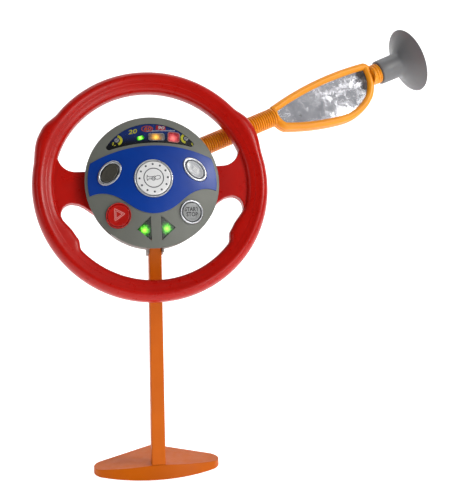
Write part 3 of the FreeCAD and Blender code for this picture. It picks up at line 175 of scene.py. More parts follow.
def metal(name, code, dark, rough, brushed=0.0, edge_mm=0.1):
    """Plated or brushed metal with a faint cloudiness and fine scratches."""
    made, tree, place = start_material(name, Metallic=1.0)
    cloud = add(tree, "TexNoise", {"Vector": place, "Scale": cells(6.0), "Detail": 4.0})
    cloud = add(tree, "MapRange", {0: cloud, 1: 0.3, 2: 0.7})
    base = add(tree, "Mix", {0: cloud, 6: colour(code), 7: colour(dark)}, 2, data_type="RGBA")
    haze = add(tree, "TexNoise", {"Vector": place, "Scale": cells(2.5), "Detail": 5.0})
    gloss = add(tree, "MapRange", {0: haze, 1: 0.3, 2: 0.7, 3: rough * 0.7, 4: rough * 1.5})
    connect(tree, Base_Color=base, Roughness=gloss)
    surface(tree, place, edge_mm, brushed, 1.2, deep_mm=0.05, detail=3.0, stretch=14.0)
    return made


def lamp_lens(name, code, dark, at, size_mm, strength, glow):
    """Tinted ribbed lens lit by a lamp behind it at a point of the hub's face: it glows there, and its
    base colour holds a painted pool of that light, bright there, dark away.
    """
    made, tree, place = start_material(name, IOR=1.49, Roughness=0.12)
    away = add(tree, "VectorMath", {0: place, 1: (at[0] * MM, at[1] * MM, 0.0)}, operation="SUBTRACT")
    flat = add(tree, "VectorMath", {0: away, 1: (1.0, 1.0, 0.0)}, operation="MULTIPLY")
    far = add(tree, "VectorMath", {0: flat}, "Value", operation="LENGTH")
    ripple = add(tree, "TexNoise", {"Vector": place, "Scale": cells(1.6), "Detail": 3.0})
    ripple = add(tree, "MapRange", {0: ripple, 1: 0.3, 2: 0.7, 3: 0.75, 4: 1.25})
    far = add(tree, "Math", {0: far, 1: ripple}, operation="MULTIPLY")
    near = add(tree, "MapRange", {0: far, 1: 0.0, 2: size_mm * MM, 3: 1.0, 4: 0.0},
               interpolation_type="SMOOTHSTEP")
    hot = add(tree, "Math", {0: near, 1: 2.2}, operation="POWER")
    ribs = add(tree, "TexWave", {"Vector": place, "Scale": cells(3.0), "Distortion": 0.6}, "Fac",
               bands_direction="X")
    connect(tree,
            # painted light: the base colour is the lens colour near the lamp point and the dark colour away;
            # the emission is the lamp
            Base_Color=add(tree, "Mix", {0: near, 6: colour(dark), 7: colour(code)}, 2, data_type="RGBA"),
            Emission_Color=add(tree, "Mix", {0: hot, 6: colour(code), 7: colour(glow)}, 2, data_type="RGBA"),
            Emission_Strength=add(tree, "Math", {0: hot, 1: strength}, operation="MULTIPLY"),
            Normal=add(tree, "Bump", {"Height": ribs, "Strength": 0.3, "Distance": 0.2 * MM}))
    return made


def clear_window():
    """Clear polystyrene: a faint tint and a gloss with a few scuffs."""
    made, tree, place = start_material("clear polystyrene window", IOR=1.59, Alpha=0.22)
    haze = add(tree, "TexNoise", {"Vector": place, "Scale": cells(4.0), "Detail": 6.0})
    tint = add(tree, "Mix", {0: haze, 6: colour("14161a"), 7: colour("1c1f24")}, 2, data_type="RGBA")
    connect(tree, Base_Color=tint, Roughness=add(tree, "MapRange", {0: haze, 3: 0.02, 4: 0.12}))
    return made


def mirror_foil():
    """Silvered foil on card: cloudy and crinkled, with dark reflections painted into its colour: a spot, and
    a ragged dark far end.
    """
    made, tree, place = start_material("silvered mirror foil", Metallic=1.0)
    cloud = add(tree, "TexNoise", {"Vector": place, "Scale": cells(14.0), "Detail": 4.0})
    cloud = add(tree, "MapRange", {0: cloud, 1: 0.3, 2: 0.7})
    base = add(tree, "Mix", {0: cloud, 6: colour("cdced4"), 7: colour("b9b9c0")}, 2, data_type="RGBA")
    # painted dark reflection: the colour darkens towards 50543f round a spot
    near = add(tree, "VectorMath", {0: place, 1: (REFLECTION_SPOT[0] * MM, REFLECTION_SPOT[1] * MM, 0.0)}, "Value",
               operation="DISTANCE")
    painted_reflection_spot = add(tree, "MapRange", {0: near, 1: 0.8 * MM, 2: 3.6 * MM, 3: 0.6, 4: 0.0})
    base = add(tree, "Mix", {0: painted_reflection_spot, 6: base, 7: colour("50543f")}, 2, data_type="RGBA")
    # painted dark reflection: the far end darkens towards 3a302b, with a ragged edge
    along = add(tree, "SeparateXYZ", {0: place}, 0)
    ragged = add(tree, "TexNoise", {"Vector": place, "Scale": cells(9.0), "Detail": 5.0})
    edge = add(tree, "Math", {0: ragged, 1: 16 * MM, 2: along}, operation="MULTIPLY_ADD")
    painted_end_reflection = add(tree, "MapRange", {0: edge, 1: DARK_END_AT * MM - 4 * MM, 2: DARK_END_AT * MM, 3: 0.0, 4: 0.9})
    base = add(tree, "Mix", {0: painted_end_reflection, 6: base, 7: colour("3a302b")}, 2, data_type="RGBA")
    haze = add(tree, "TexNoise", {"Vector": place, "Scale": cells(5.0), "Detail": 5.0})
    stretched = add(tree, "Mapping", {"Vector": place, "Scale": (1.0, 0.5, 1.0)})
    folds = add(tree, "TexNoise", {"Vector": stretched, "Scale": cells(7.0), "Detail": 3.0})
    connect(tree, Base_Color=base,
            Roughness=add(tree, "MapRange", {0: haze, 1: 0.3, 2: 0.7, 3: 0.05, 4: 0.16}),
            Normal=add(tree, "Bump", {"Height": folds, "Strength": 0.2, "Distance": 0.2 * MM}))
    return made


def dash_card(low, high):
    """Printed card: black below the height low, blue above high, with darker patches."""
    made, tree, place = start_material("printed dash card")
    height = add(tree, "SeparateXYZ", {0: place}, 1)
    fade = add(tree, "MapRange", {0: height, 1: low * MM, 2: high * MM}, interpolation_type="SMOOTHSTEP")
    base = add(tree, "Mix", {0: fade, 6: colour("06060a"), 7: colour("1a44a6")}, 2, data_type="RGBA")
    patch = add(tree, "TexNoise", {"Vector": place, "Scale": cells(9.0), "Detail": 3.0})
    patch = add(tree, "MapRange", {0: patch, 1: 0.5, 2: 0.75, 3: 0.0, 4: 0.45})
    base = add(tree, "Mix", {0: patch, 6: base, 7: colour("10122e")}, 2, data_type="RGBA")
    haze = add(tree, "TexNoise", {"Vector": place, "Scale": cells(3.0), "Detail": 3.0})
    connect(tree, Base_Color=base, Roughness=add(tree, "MapRange", {0: haze, 3: 0.35, 4: 0.5}))
    return made


# Where the foil's painted dark reflections lie, in the arm's millimetres: a spot, and the distance from which
# its far end is fully dark.
REFLECTION_SPOT = (125.0, -10.5)
DARK_END_AT = 218.0

RED = plastic("glossy red ABS", "b80f04", "ac0c03", 0.30, grain=0.0, edge_mm=0, shine=0.25)
GREY = plastic("satin grey ABS", "6d6f68", "656760", 0.42, grain=0.22)
CASING = plastic("warm grey ABS casing", "84756d", "7a6b63", 0.45, grain=0.22)
BLUE = plastic("satin blue ABS", "003a98", "003288", 0.34, grain=0.16, edge_mm=0.6, shine=0.3)
ORANGE = plastic("satin orange ABS", "cc6200", "c05900", 0.45, grain=0.15, edge_mm=1.0, shine=0.15)
YELLOW = plastic("yellow-orange polyethylene", "f29d14", "e88f0e", 0.34, grain=0.05, edge_mm=0.8, soft=0.1)
# painted shade: the ribbed sleeve's grooves are darkened to c05a02
RIBBED = plastic("ribbed yellow-orange polyethylene", "f8a416", "f09a10", 0.36, grain=0.0, edge_mm=0,
                 groove_shade="c05a02")
WHITE = plastic("glossy white ABS", "e6e6e6", "dededf", 0.22, grain=0.04, coat=0.2)
DARK_CAP = plastic("smoked plastic cap", "46443d", "3a3832", 0.16, grain=0.04, coat=0.4)
SILVER_CAP = plastic("silver-lacquered cap", "b0b2b6", "a2a4a8", 0.26, grain=0.06, coat=0.3)
START_CAP = plastic("grey-lacquered cap", "868888", "7b7d7d", 0.28, grain=0.06, coat=0.3)
BUTTON_RED = plastic("glossy red button ABS", "b81409", "a70f07", 0.24, grain=0.05, coat=0.3)
VINYL = plastic("soft grey vinyl", "6f7071", "67676a", 0.40, grain=0.05, edge_mm=0.4, soft=0.1)
PRINT_BLACK = plastic("black pad print", "232326", "1b1b1e", 0.5, grain=0.05, edge_mm=0.05)
PRINT_DARK = plastic("dark grey pad print", "4c4e54", "43454b", 0.5, grain=0.05, edge_mm=0.05)
PRINT_WHITE = plastic("white label print", "dadbe2", "cfd0d8", 0.5, grain=0.05, edge_mm=0.05)
PRINT_PINK = plastic("pale red pad print", "dd8f8a", "d0827d", 0.5, grain=0.05, edge_mm=0.05)
PRINT_YELLOW = plastic("yellow label print", "e0dc30", "c8c428", 0.5, grain=0.05, edge_mm=0.05)
PRINT_RED = plastic("red label print", "d0202c", "b41a22", 0.5, grain=0.05, edge_mm=0.05)
PRINT_ORANGE = plastic("orange label print", "ea641c", "cc5018", 0.5, grain=0.05, edge_mm=0.05)
SILICONE = plastic("milky silicone rubber", "cfcfcb", "c3c3bf", 0.5, grain=0.1, soft=0.2)
BLACK = plastic("black nylon", "16161a", "101013", 0.45, grain=0.2)
MASK = plastic("green solder mask", "1a5c30", "144a26", 0.3, grain=0.1)
JACKET = plastic("dark cell jacket film", "26282e", "1d1f24", 0.25, grain=0.05)
CHROME = metal("satin chrome plating", "c6c8cc", "b8babf", 0.34, edge_mm=0.02)
STEEL = metal("zinc-plated steel", "a9aaab", "939496", 0.3, brushed=0.1)
CONTACT = metal("nickel-plated spring steel", "c4c0b4", "aeaa9e", 0.25, brushed=0.08)
FRAME_STEEL = metal("black-painted speaker frame", "2c2d30", "222326", 0.4, brushed=0.1)
GREEN_LEFT = lamp_lens("lit green arrow lens left", "2a9c1c", "101a10", (-11.8, -50.0), 8.0, 2.6, "9cff48")
GREEN_RIGHT = lamp_lens("lit green arrow lens right", "2a9c1c", "101a10", (10.6, -49.6), 8.0, 2.2, "9cff48")
GREEN_LAMP = lamp_lens("lit green lamp lens", "2fb01c", "0c130c", (-9.6, 44.6), 5.5, 5.0, "8aff4a")
AMBER_LAMP = lamp_lens("lit amber lamp lens", "d98a1c", "8b8580", (6.2, 44.6), 8.5, 1.6, "ffd060")
RED_LAMP = lamp_lens("lit red lamp lens", "e03a4c", "8c1420", (23.4, 43.0), 10.0, 1.1, "ff9a90")
WINDOW = clear_window()
FOIL = mirror_foil()
CARD = dash_card(low=38.0, high=52.0)


# ---- meshes ------------------------------------------------------------------------------------
def dress(obj, finish, body=None, slot=None, replaces=(), smooth=40.0, bevel=0.0):
    """Finish, smooth shading, rounded edges, and what the piece rides on and stands for."""
    obj.data.materials.clear()
    obj.data.materials.append(finish)
    obj.data.polygons.foreach_set("use_smooth", [True] * len(obj.data.polygons))
    obj.data.set_sharp_from_angle(angle=math.radians(smooth))
    if bevel:
        edge = obj.modifiers.new("rounded edges", "BEVEL")
        edge.width = bevel * MM
        edge.segments = 3
        edge.limit_method = "ANGLE"
        edge.angle_limit = math.radians(35)
        edge.harden_normals = True
    if replaces:
        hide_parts(*replaces)
    if body:
        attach(obj, body)
    return obj


def piece(name, shape, place, finish, **how):
    """A mesh from (points in millimetres, faces) in the frame place."""
    mesh = bpy.data.meshes.new(name)
    mesh.from_pydata([Vector(p) * MM for p in shape[0]], [], shape[1])
    mesh.validate()
    mesh.update()
    obj = bpy.data.objects.new(name, mesh)
    bpy.context.scene.collection.objects.link(obj)
    obj.matrix_world = place
    return dress(obj, finish, **how)


def loft(rings, closed_ring=True, closed_row=False, caps=False):
    """Points and faces through rings of points."""
    count = len(rings[0])
    points = [p for ring in rings for p in ring]
    faces = []
    for row in range(len(rings) if closed_row else len(rings) - 1):
        a, b = row * count, ((row + 1) % len(rings)) * count
        for k in range(count if closed_ring else count - 1):
            n = (k + 1) % count
            faces.append((a + k, a + n, b + n, b + k))
    if caps:
        faces.append(tuple(reversed(range(count))))
        faces.append(tuple(range((len(rings) - 1) * count, len(rings) * count)))
    return points, faces


def merged(shapes):
    """Several (points, faces) as one."""
    points, faces = [], []
    for more, around in shapes:
        start = len(points)
        points += more
        faces += [tuple(start + k for k in face) for face in around]
    return points, faces


def turned(profile, turns=96):
    """A profile of (along, radius) turned round the frame's x."""
    rings = [[(along, radius * math.cos(2 * math.pi * k / turns), radius * math.sin(2 * math.pi * k / turns))
              for k in range(turns)] for along, radius in profile]
    return loft(rings, caps=True)


def smoothstep(value, low, high):
    """0 below low, 1 above high, smooth between."""
    t = min(1.0, max(0.0, (value - low) / (high - low)))
    return t * t * (3 - 2 * t)


def bump_shape(angle, low, peak_low, peak_high, high):
    """Rises from low to peak_low, stays, and falls from peak_high to high."""
    return smoothstep(angle, low, peak_low) * (1 - smoothstep(angle, peak_high, high))


def turned_points(at, turn, points):
    """Points turned by degrees and moved to a place."""
    c, s = math.cos(math.radians(turn)), math.sin(math.radians(turn))
    return [(at[0] + c * x - s * u, at[1] + s * x + c * u) for x, u in points]


def rounded_box(half, corner, steps, grow=0.0):
    """Outline of a box with rounded corners round its middle; grow pushes the corners out."""
    made = []
    for qx, qu, start in ((1, 1, 0), (-1, 1, 90), (-1, -1, 180), (1, -1, 270)):
        for k in range(steps + 1):
            t = math.radians(start + 90 * k / steps)
            made.append((qx * (half[0] - corner) + (corner + grow) * math.cos(t),
                         qu * (half[1] - corner) + (corner + grow) * math.sin(t)))
    return made


def arc_through(a, b, c, steps=10):
    """Points along the arc from a through b to c, without c."""
    (ax, ay), (bx, by), (cx, cy) = a, b, c
    d = 2 * (ax * (by - cy) + bx * (cy - ay) + cx * (ay - by))
    sa, sb, sc = ax * ax + ay * ay, bx * bx + by * by, cx * cx + cy * cy
    ux = (sa * (by - cy) + sb * (cy - ay) + sc * (ay - by)) / d
    uy = (sa * (cx - bx) + sb * (ax - cx) + sc * (bx - ax)) / d
    radius = math.hypot(ax - ux, ay - uy)
    start, mid, end = (math.atan2(y - uy, x - ux) for x, y in (a, b, c))
    turn = (end - start) % (2 * math.pi)
    if (mid - start) % (2 * math.pi) > turn:
        turn -= 2 * math.pi
    angles = [start + turn * k / steps for k in range(steps)]
    return [(ux + radius * math.cos(t), uy + radius * math.sin(t)) for t in angles]


# ---- steering wheel ----------------------------------------------------------------------------
RIM_IN, RIM_OUT, RIM_TOP = 97.7, 120.0, 12.0
RIM_MID = 112.6                      # radius of the rim's rounded outer part
CREASE, CREASE_N = 106.2, 10.5       # radius and height of the line round the rim's front
GRIP_RISE, THUMB_RISE = 4.4, 5.2     # how far the grips and the thumb rests stand out
RIM_STEPS = 360


def rim_half_section():
    """(radius, height) from the inner edge over the front to the outer edge."""
    made = [(RIM_IN, 0.0), (RIM_IN, 0.3), (RIM_IN + 0.1, 2.0), (RIM_IN + 0.35, 4.2), (RIM_IN + 0.9, 6.2),
             (RIM_IN + 2.0, 7.9), (RIM_IN + 3.8, 9.0), (RIM_IN + 6.0, 9.7), (RIM_IN + 7.6, 10.1),
             (CREASE - 0.3, CREASE_N - 0.25), (CREASE, CREASE_N), (CREASE + 0.35, CREASE_N + 0.15)]
    half = RIM_OUT - RIM_MID
    for k in range(1, 13):
        a = math.radians(128 - 128 * k / 12)
        made.append((RIM_MID + half * math.cos(a), RIM_TOP * math.sin(a) ** 0.9 if k < 12 else 0.0))
    return made


def rim():
    """The rim all round, with grips above the spokes and thumb rests below them."""
    front = rim_half_section()
    back = [(r, -max(0.0, n) if r > CREASE or n < 9 else -n - 0.6 * smoothstep(r, 100, 106))
            for r, n in front]
    section = front + list(reversed(back[1:-1]))
    rings = []
    for k in range(RIM_STEPS):
        degrees = 360 * k / RIM_STEPS
        side = degrees if degrees <= 180 else degrees - 360
        lift = 180 - abs(side) if abs(side) > 90 else abs(side)
        angle = lift if side >= 0 else -lift
        grip = bump_shape(angle, 12, 27, 31, 41)
        thumb = bump_shape(angle, -41, -34, -29, -14)
        a = math.radians(degrees)
        ring = []
        for r, n in section:
            out = smoothstep(r, 108, 120)
            inn = 1 - smoothstep(r, 98, 106)
            radius = r + GRIP_RISE * grip * out - THUMB_RISE * thumb * inn
            height = n * (1 + 0.03 * grip)
            ring.append((radius * math.cos(a), radius * math.sin(a), height))
        rings.append(ring)
    return loft(rings, closed_row=True)


def spoke(side, low, high):
    """Flat spoke with swept roots, between two heights."""
    outline = [(57.5, 16.6)] + arc_through((74, 17.0), (85.5, 20.6), (92.6, 33.5), 14)
    outline += [(94.5, 38.0), (103.0, 40.0), (108.0, 22.0), (109.5, 0.0), (108.0, -22.0), (103.0, -40.0),
                (95.0, -38.0)]
    outline += arc_through((90.6, -32.5), (91.4, -21.5), (80.0, -15.3), 14)
    outline += [(80.0, -15.3), (74.5, -16.6), (69.0, -19.6), (63.5, -24.0), (57.5, -28.0)]
    outline = [(side * x, u) for x, u in outline]
    if side > 0:
        outline.reverse()
    front = [(x, u, high) for x, u in outline]
    back = [(x, u, low) for x, u in outline]
    return loft([back, front], caps=True)


piece("wheel_rim", rim(), HEAD, RED, body="steering_wheel", slot="red_abs",
      replaces=["wheel_front", "wheel_back"], smooth=50.0)
for side, word in ((-1, "left"), (1, "right")):
    piece("wheel_spoke_" + word, spoke(side, -6.0, 5.0), HEAD, RED, body="steering_wheel",
          slot="red_abs", bevel=1.2, smooth=30.0)

# ---- hub face ----------------------------------------------------------------------------------
FACE_RISE, FACE_RADIUS = 28.0, 187.5


def dome(x, u, up=0.0):
    """Height of the hub's domed face at a point, and up above it."""
    return FACE_RISE - FACE_RADIUS + math.sqrt(FACE_RADIUS ** 2 - x * x - u * u) + up


def field(low, high, xs, height, thick, rows=8):
    """Closed plate between two edges u = low(x) and u = high(x), under a surface height(x, u)."""
    rings = []
    for x in xs:
        spots = [(x, low(x) + (high(x) - low(x)) * k / rows) for k in range(rows + 1)]
        top = [(a, b, height(a, b)) for a, b in spots]
        under = [(a, b, height(a, b) - thick) for a, b in reversed(spots)]
        rings.append(top + under)
    return loft(rings, caps=True)


def span(low, high, count):
    """Even steps from low to high."""
    return [low + (high - low) * k / count for k in range(count + 1)]


def rounded_spot(at, half, turn, corner, up, thick, steps=7):
    """Plate on the dome with rounded ends: at its middle, half sizes, turned by degrees."""
    outline = turned_points(at, turn, rounded_box(half, corner, steps))
    rings = []
    for share, raised in ((1.0, -thick), (1.0, -0.15 * thick), (0.96, 0.0), (0.5, 0.0)):
        ring = []
        for x, u in outline:
            x, u = at[0] + (x - at[0]) * share, at[1] + (u - at[1]) * share
            ring.append((x, u, dome(x, u, up + raised)))
        rings.append(ring)
    return loft(rings, caps=True)


def stroke(points, width, up, closed=False, thick=0.12, height=dome):
    """Thin raised line along points of the face."""
    rings = []
    count = len(points)
    for k, (x, u) in enumerate(points):
        before = points[(k - 1) % count] if closed or k else points[0]
        after = points[(k + 1) % count] if closed or k < count - 1 else points[-1]
        dx, du = after[0] - before[0], after[1] - before[1]
        size = math.hypot(dx, du) or 1.0
        nx, nu = -du / size * width / 2, dx / size * width / 2
        a, b = (x + nx, u + nu), (x - nx, u - nu)
        rings.append([(*a, height(*a, up - 0.3)), (*a, height(*a, up + thick)),
                      (*b, height(*b, up + thick)), (*b, height(*b, up - 0.3))])
    return loft(rings, closed_row=closed, caps=not closed)


def circle(at, radius, start=0.0, end=360.0, count=48):
    """Points round a circle, or along an arc of it between two angles in degrees."""
    whole = abs(end - start) >= 360
    return [(at[0] + radius * math.cos(math.radians(start + (end - start) * k / count)),
             at[1] + radius * math.sin(math.radians(start + (end - start) * k / count)))
            for k in range(count if whole else count + 1)]


def oval(at, half, turn, count=72):
    """Points round an oval turned by degrees."""
    angles = [2 * math.pi * k / count for k in range(count)]
    return turned_points(at, turn, [(half[0] * math.cos(t), half[1] * math.sin(t)) for t in angles])


def button_ring(at, outer, inner, turn, up):
    """Rolled ring round a push button."""
    steps = [(0.0, -2.4), (0.0, 0.25), (0.04, 0.6), (0.13, 0.86), (0.28, 1.0), (0.5, 1.0), (0.7, 0.86),
             (0.85, 0.6), (0.95, 0.2), (1.0, -0.3), (1.0, -2.4)]
    rings = []
    for share, raised in steps:
        half = [o + (i - o) * share for o, i in zip(outer, inner)]
        rise = raised * up if raised > -1 else raised
        rings.append([(x, u, dome(x, u, rise)) for x, u in oval(at, half, turn)])
    return loft(list(reversed(rings)), closed_row=True)


def button_cap(at, half, turn, up, edge=0.8, dish=0.0):
    """Crowned cap with a rolled edge; dish sinks its middle."""
    rings = []
    for inset, raised in ((0.0, -3.6), (0.0, -edge), (edge * 0.12, -edge * 0.5), (edge * 0.45, -edge * 0.14),
                          (edge, 0.0), (edge + 0.9, -dish * 0.5), (edge + 1.8, -dish)):
        ring = oval(at, [h - inset for h in half], turn)
        rings.append([(x, u, dome(x, u, up + raised)) for x, u in ring])
    for share in (0.6, 0.3, 0.05):
        ring = oval(at, [(h - edge - 1.8) * share for h in half], turn)
        rings.append([(x, u, dome(x, u, up - dish)) for x, u in ring])
    return loft(rings, caps=True)


def lettering(name, text, at, height_mm, up, finish, slant=0.0, stretch=1.0, turn=0.0, body="console"):
    """Plain letters or numbers lying on the dome."""
    font = bpy.data.curves.new(name, "FONT")
    font.body = text
    font.align_x, font.align_y = "CENTER", "CENTER"
    font.size = height_mm * 1.38
    font.offset = 0.03 * height_mm
    font.extrude = 0.12
    font.shear = slant
    font.resolution_u = 3
    flat = bpy.data.objects.new(name, font)
    bpy.context.scene.collection.objects.link(flat)
    bpy.context.view_layer.update()
    mesh = bpy.data.meshes.new_from_object(flat.evaluated_get(bpy.context.evaluated_depsgraph_get()))
    bpy.data.objects.remove(flat)
    for v in mesh.vertices:
        x, u = turned_points(at, turn, [(v.co.x * stretch, v.co.y)])[0]
        v.co = Vector((x, u, dome(x, u, up + v.co.z))) * MM
    obj = bpy.data.objects.new(name, mesh)
    bpy.context.scene.collection.objects.link(obj)
    obj.matrix_world = HEAD
    return dress(obj, finish, smooth=30.0, body=body)


def on_hub(name, shape, finish, body="console", **how):
    """A piece in the head's frame."""
    return piece(name, shape, HEAD, finish, body=body, **how)


# Dash: a printed card in a crescent window, with three lamps, two screws and painted gauges.
DASH_DEEP = -1.1                     # the card under the dome
PRINT_UP = DASH_DEEP + 0.05
DASH_HALF = 46.6
DASH_ROUND_FROM, DASH_ROUND = 43.2, 3.6


def dash_low(x):
    """Window's lower edge."""
    return -131.5 + math.sqrt(170.0 ** 2 - x * x)


def dash_high(x):
    """Window's upper edge."""
    return 5.6 + math.sqrt(54.6 ** 2 - x * x)


def dash_close(x):
    """Share of the window's height left towards its rounded ends."""
    past = max(0.0, abs(x) - DASH_ROUND_FROM) / DASH_ROUND
    return math.sqrt(max(0.0, 1 - past * past))


def dash_edge(side):
    """The card's edge below (-1) or above (1), drawn in to rounded ends."""
    def edge(x):
        middle = (dash_low(x) + dash_high(x)) / 2 - 0.4 * max(0.0, abs(x) - DASH_ROUND_FROM)
        half = (dash_high(x) - dash_low(x)) / 2 * dash_close(x)
        return middle + side * half
    return edge


on_hub("dash_card", field(dash_edge(-1), dash_edge(1), span(-DASH_HALF, DASH_HALF, 90),
                          lambda x, u: dome(x, u, DASH_DEEP), 0.8), CARD,
       slot="printed_card", replaces=["dash_label"])
LAMPS = {
    "green_lamp": ((-9.6, 44.5), (4.0, 2.0), 14.0, 1.4, GREEN_LAMP, "green_lens"),
    "amber_lamp": ((6.8, 45.2), (7.6, 3.6), -3.0, 1.6, AMBER_LAMP, "amber_lens"),
    "red_lamp": ((24.4, 44.3), (5.4, 5.0), -8.0, 2.0, RED_LAMP, "red_lens"),
}
for name, (at, half, turn, corner, finish, slot) in LAMPS.items():
    on_hub(name + "_lens", rounded_spot(at, half, turn, corner, DASH_DEEP + 0.85, 0.9), finish,
           slot=slot, replaces=[name])
    if name != "green_lamp":
        edge_line = turned_points(at, turn, rounded_box(half, corner, 5, grow=0.4))
        on_hub(name + "_frame", stroke(edge_line, 0.7, DASH_DEEP + 0.55, closed=True),
               CHROME if name == "amber_lamp" else PRINT_PINK)

GAUGES = [((-33.2, 43.9), -75.0, 75.0), ((37.4, 43.0), 105.0, 255.0)]
for word, (at, start, end) in zip(("left", "right"), GAUGES):
    on_hub("gauge_band_" + word, stroke(circle(at, 4.6, start, end, 16), 2.6, PRINT_UP), PRINT_YELLOW)
    head = rounded_spot(at, (2.3, 2.3), 0.0, 2.3, DASH_DEEP + 0.5, 0.6)
    on_hub("dial_screw_head_" + word, head, SILVER_CAP, slot="chrome_plate",
           replaces=[] if word == "left" else ["dial_screws"])
    slant = [(at[0] - 1.3, at[1] - 0.7), (at[0] + 1.3, at[1] + 0.7)]
    on_hub("dial_screw_slot_" + word, stroke(slant, 0.5, DASH_DEEP + 0.56), PRINT_BLACK)
on_hub("gauge_marks", merged([stroke([(-37.8, 38.9), (-36.9, 40.6), (-36.6, 42.2)], 1.1, PRINT_UP),
                              stroke([(-36.4, 38.2), (-34.6, 38.6)], 0.8, PRINT_UP),
                              stroke(circle((44.2, 37.2), 1.5, count=20), 1.2, PRINT_UP, closed=True)]),
       PRINT_YELLOW)
lettering("speed_20", "20", (-17.0, 52.0), 4.8, PRINT_UP, PRINT_YELLOW, slant=0.25, stretch=1.35,
          turn=7.0)
lettering("speed_60", "60", (-1.6, 54.7), 4.2, DASH_DEEP + 0.16, PRINT_ORANGE, slant=0.25, stretch=1.3)
lettering("speed_90", "90", (12.2, 55.2), 3.8, DASH_DEEP + 0.16, PRINT_WHITE, slant=0.25, stretch=1.3,
          turn=-5.0)
on_hub("speed_60_ring", stroke(oval((-1.6, 54.7), (5.6, 3.2), 0, 40), 0.7, PRINT_UP, closed=True),
       PRINT_ORANGE)
on_hub("speed_90_box", rounded_spot((12.2, 55.2), (4.9, 2.5), -8.0, 0.8, DASH_DEEP + 0.14, 0.3), PRINT_RED)
ticks = [stroke([(x, 51.1 + 0.02 * (16 - abs(x - 10))), (x + 0.15, 52.6)], 0.75, PRINT_UP)
         for x in span(-2.0, 26.0, 21)]
on_hub("scale_ticks", merged(ticks), PRINT_WHITE)

# Push buttons: rolled plated rings, crowned caps, and simple printed signs that move with the caps.
HORN_AT, HAZARD_AT, START_AT = (0.0, 0.5), (-36.9, -34.4), (36.5, -34.4)
PHONE_AT, RADIO_AT = (-43.0, 9.0), (43.0, 9.0)
PHONE_TURN, RADIO_TURN = 48.0, -48.0
RINGS = {                            # place, outside, inside, turn, height, finish, slot, node
    "horn_ring": (HORN_AT, (19.6, 19.6), (17.5, 17.5), 0.0, 2.0, CHROME, "chrome_plate", ["horn_bezel"]),
    "phone_ring": (PHONE_AT, (14.4, 10.0), (10.8, 7.2), PHONE_TURN, 2.2, CHROME, "chrome_plate",
                   ["oval_bezels"]),
    "radio_ring": (RADIO_AT, (14.4, 10.0), (10.8, 7.2), RADIO_TURN, 2.2, CHROME, "chrome_plate", []),
    "hazard_ring": (HAZARD_AT, (12.5, 12.5), (11.2, 11.2), 0.0, 2.2, BUTTON_RED, "button_red",
                    ["hazard_bezel"]),
    "start_ring": (START_AT, (12.0, 12.0), (9.5, 9.5), 0.0, 2.2, CHROME, "chrome_plate",
                   ["start_bezel"]),
}
for name, (at, outer, inner, turn, up, finish, slot, stands_for) in RINGS.items():
    on_hub(name, button_ring(at, outer, inner, turn, up), finish, slot=slot, replaces=stands_for, smooth=60.0)
CAPS = {                             # place, half sizes, turn, height, edge, dish, finish, slot
    "horn": (HORN_AT, (17.2, 17.2), 0.0, 2.6, 0.9, 0.0, WHITE, "white_abs"),
    "phone": (PHONE_AT, (10.5, 6.9), PHONE_TURN, 1.8, 0.7, 0.5, DARK_CAP, "dark_cap"),
    "radio": (RADIO_AT, (10.5, 6.9), RADIO_TURN, 1.8, 0.7, 0.5, SILVER_CAP, "silver_cap"),
    "hazard": (HAZARD_AT, (11.0, 11.0), 0.0, 1.6, 0.9, 0.5, BUTTON_RED, "button_red"),
    "start": (START_AT, (9.3, 9.3), 0.0, 1.5, 0.7, 0.4, START_CAP, "silver_cap"),
}
for name, (at, half, turn, up, edge, dish, finish, slot) in CAPS.items():
    on_hub(name + "_push_cap", button_cap(at, half, turn, up, edge, dish), finish, name + "_button",
           slot=slot, replaces=[name + "_cap"], smooth=60.0)

HORN_UP, HAZARD_UP, SIGN_UP, WORD_UP = 2.6, 1.1, 1.32, 1.14   # how high each sign lies on its cap
on_hub("horn_dots", merged([rounded_spot(spot, (1.05, 1.05), 0, 1.0, HORN_UP + 0.05, 0.3)
                            for spot in circle(HORN_AT, 14.2, 90.0, 450.0, 12)]), PRINT_DARK, "horn_button")
horn_sign = [
    stroke(circle(HORN_AT, 9.8, count=64), 0.9, HORN_UP, closed=True),
    stroke([(-6.4, 3.4), (-5.7, 1.9), (-4.4, 1.5), (-0.9, 1.6), (1.2, 2.2)], 0.55, HORN_UP),
    stroke([(-6.4, -2.4), (-5.7, -0.9), (-4.4, -0.5), (-1.6, -0.7), (1.0, -1.0)], 0.55, HORN_UP),
    stroke([(-6.4, 3.4), (-6.8, 0.5), (-6.4, -2.4)], 0.55, HORN_UP),
    stroke(circle((-0.4, -0.6), 1.7, count=24), 0.5, HORN_UP, closed=True),
    stroke(oval((4.0, 0.6), (2.9, 1.9), 12, 32), 0.55, HORN_UP, closed=True),
    stroke([(1.2, 2.2), (2.0, 1.6)], 0.5, HORN_UP),
]
on_hub("horn_sign", merged(horn_sign), PRINT_DARK, "horn_button")
TRIANGLE_AT = (-37.2, -33.3)


def triangle(size):
    """Corners of the hazard sign, its tip to the right."""
    x, u = TRIANGLE_AT
    return [(x - size * 0.5, u + size * 0.92), (x - size * 0.5, u - size * 0.92), (x + size, u)]


def edges_of(corners, steps=8):
    """Points along the closed edges between corners."""
    made = []
    for k, (x, u) in enumerate(corners):
        nx, nu = corners[(k + 1) % len(corners)]
        made += [(x + (nx - x) * j / steps, u + (nu - u) * j / steps) for j in range(steps)]
    return made


on_hub("hazard_sign", merged([stroke(edges_of(triangle(6.6)), 0.75, HAZARD_UP, closed=True),
                              stroke(edges_of(triangle(4.2)), 0.6, HAZARD_UP, closed=True)]),
       PRINT_PINK, "hazard_button")
lettering("start_word", "START", (36.5, -31.9), 4.2, WORD_UP, PRINT_BLACK, stretch=0.86, body="start_button")
lettering("stop_word", "STOP", (36.7, -36.9), 4.2, WORD_UP, PRINT_BLACK, stretch=0.86, body="start_button")


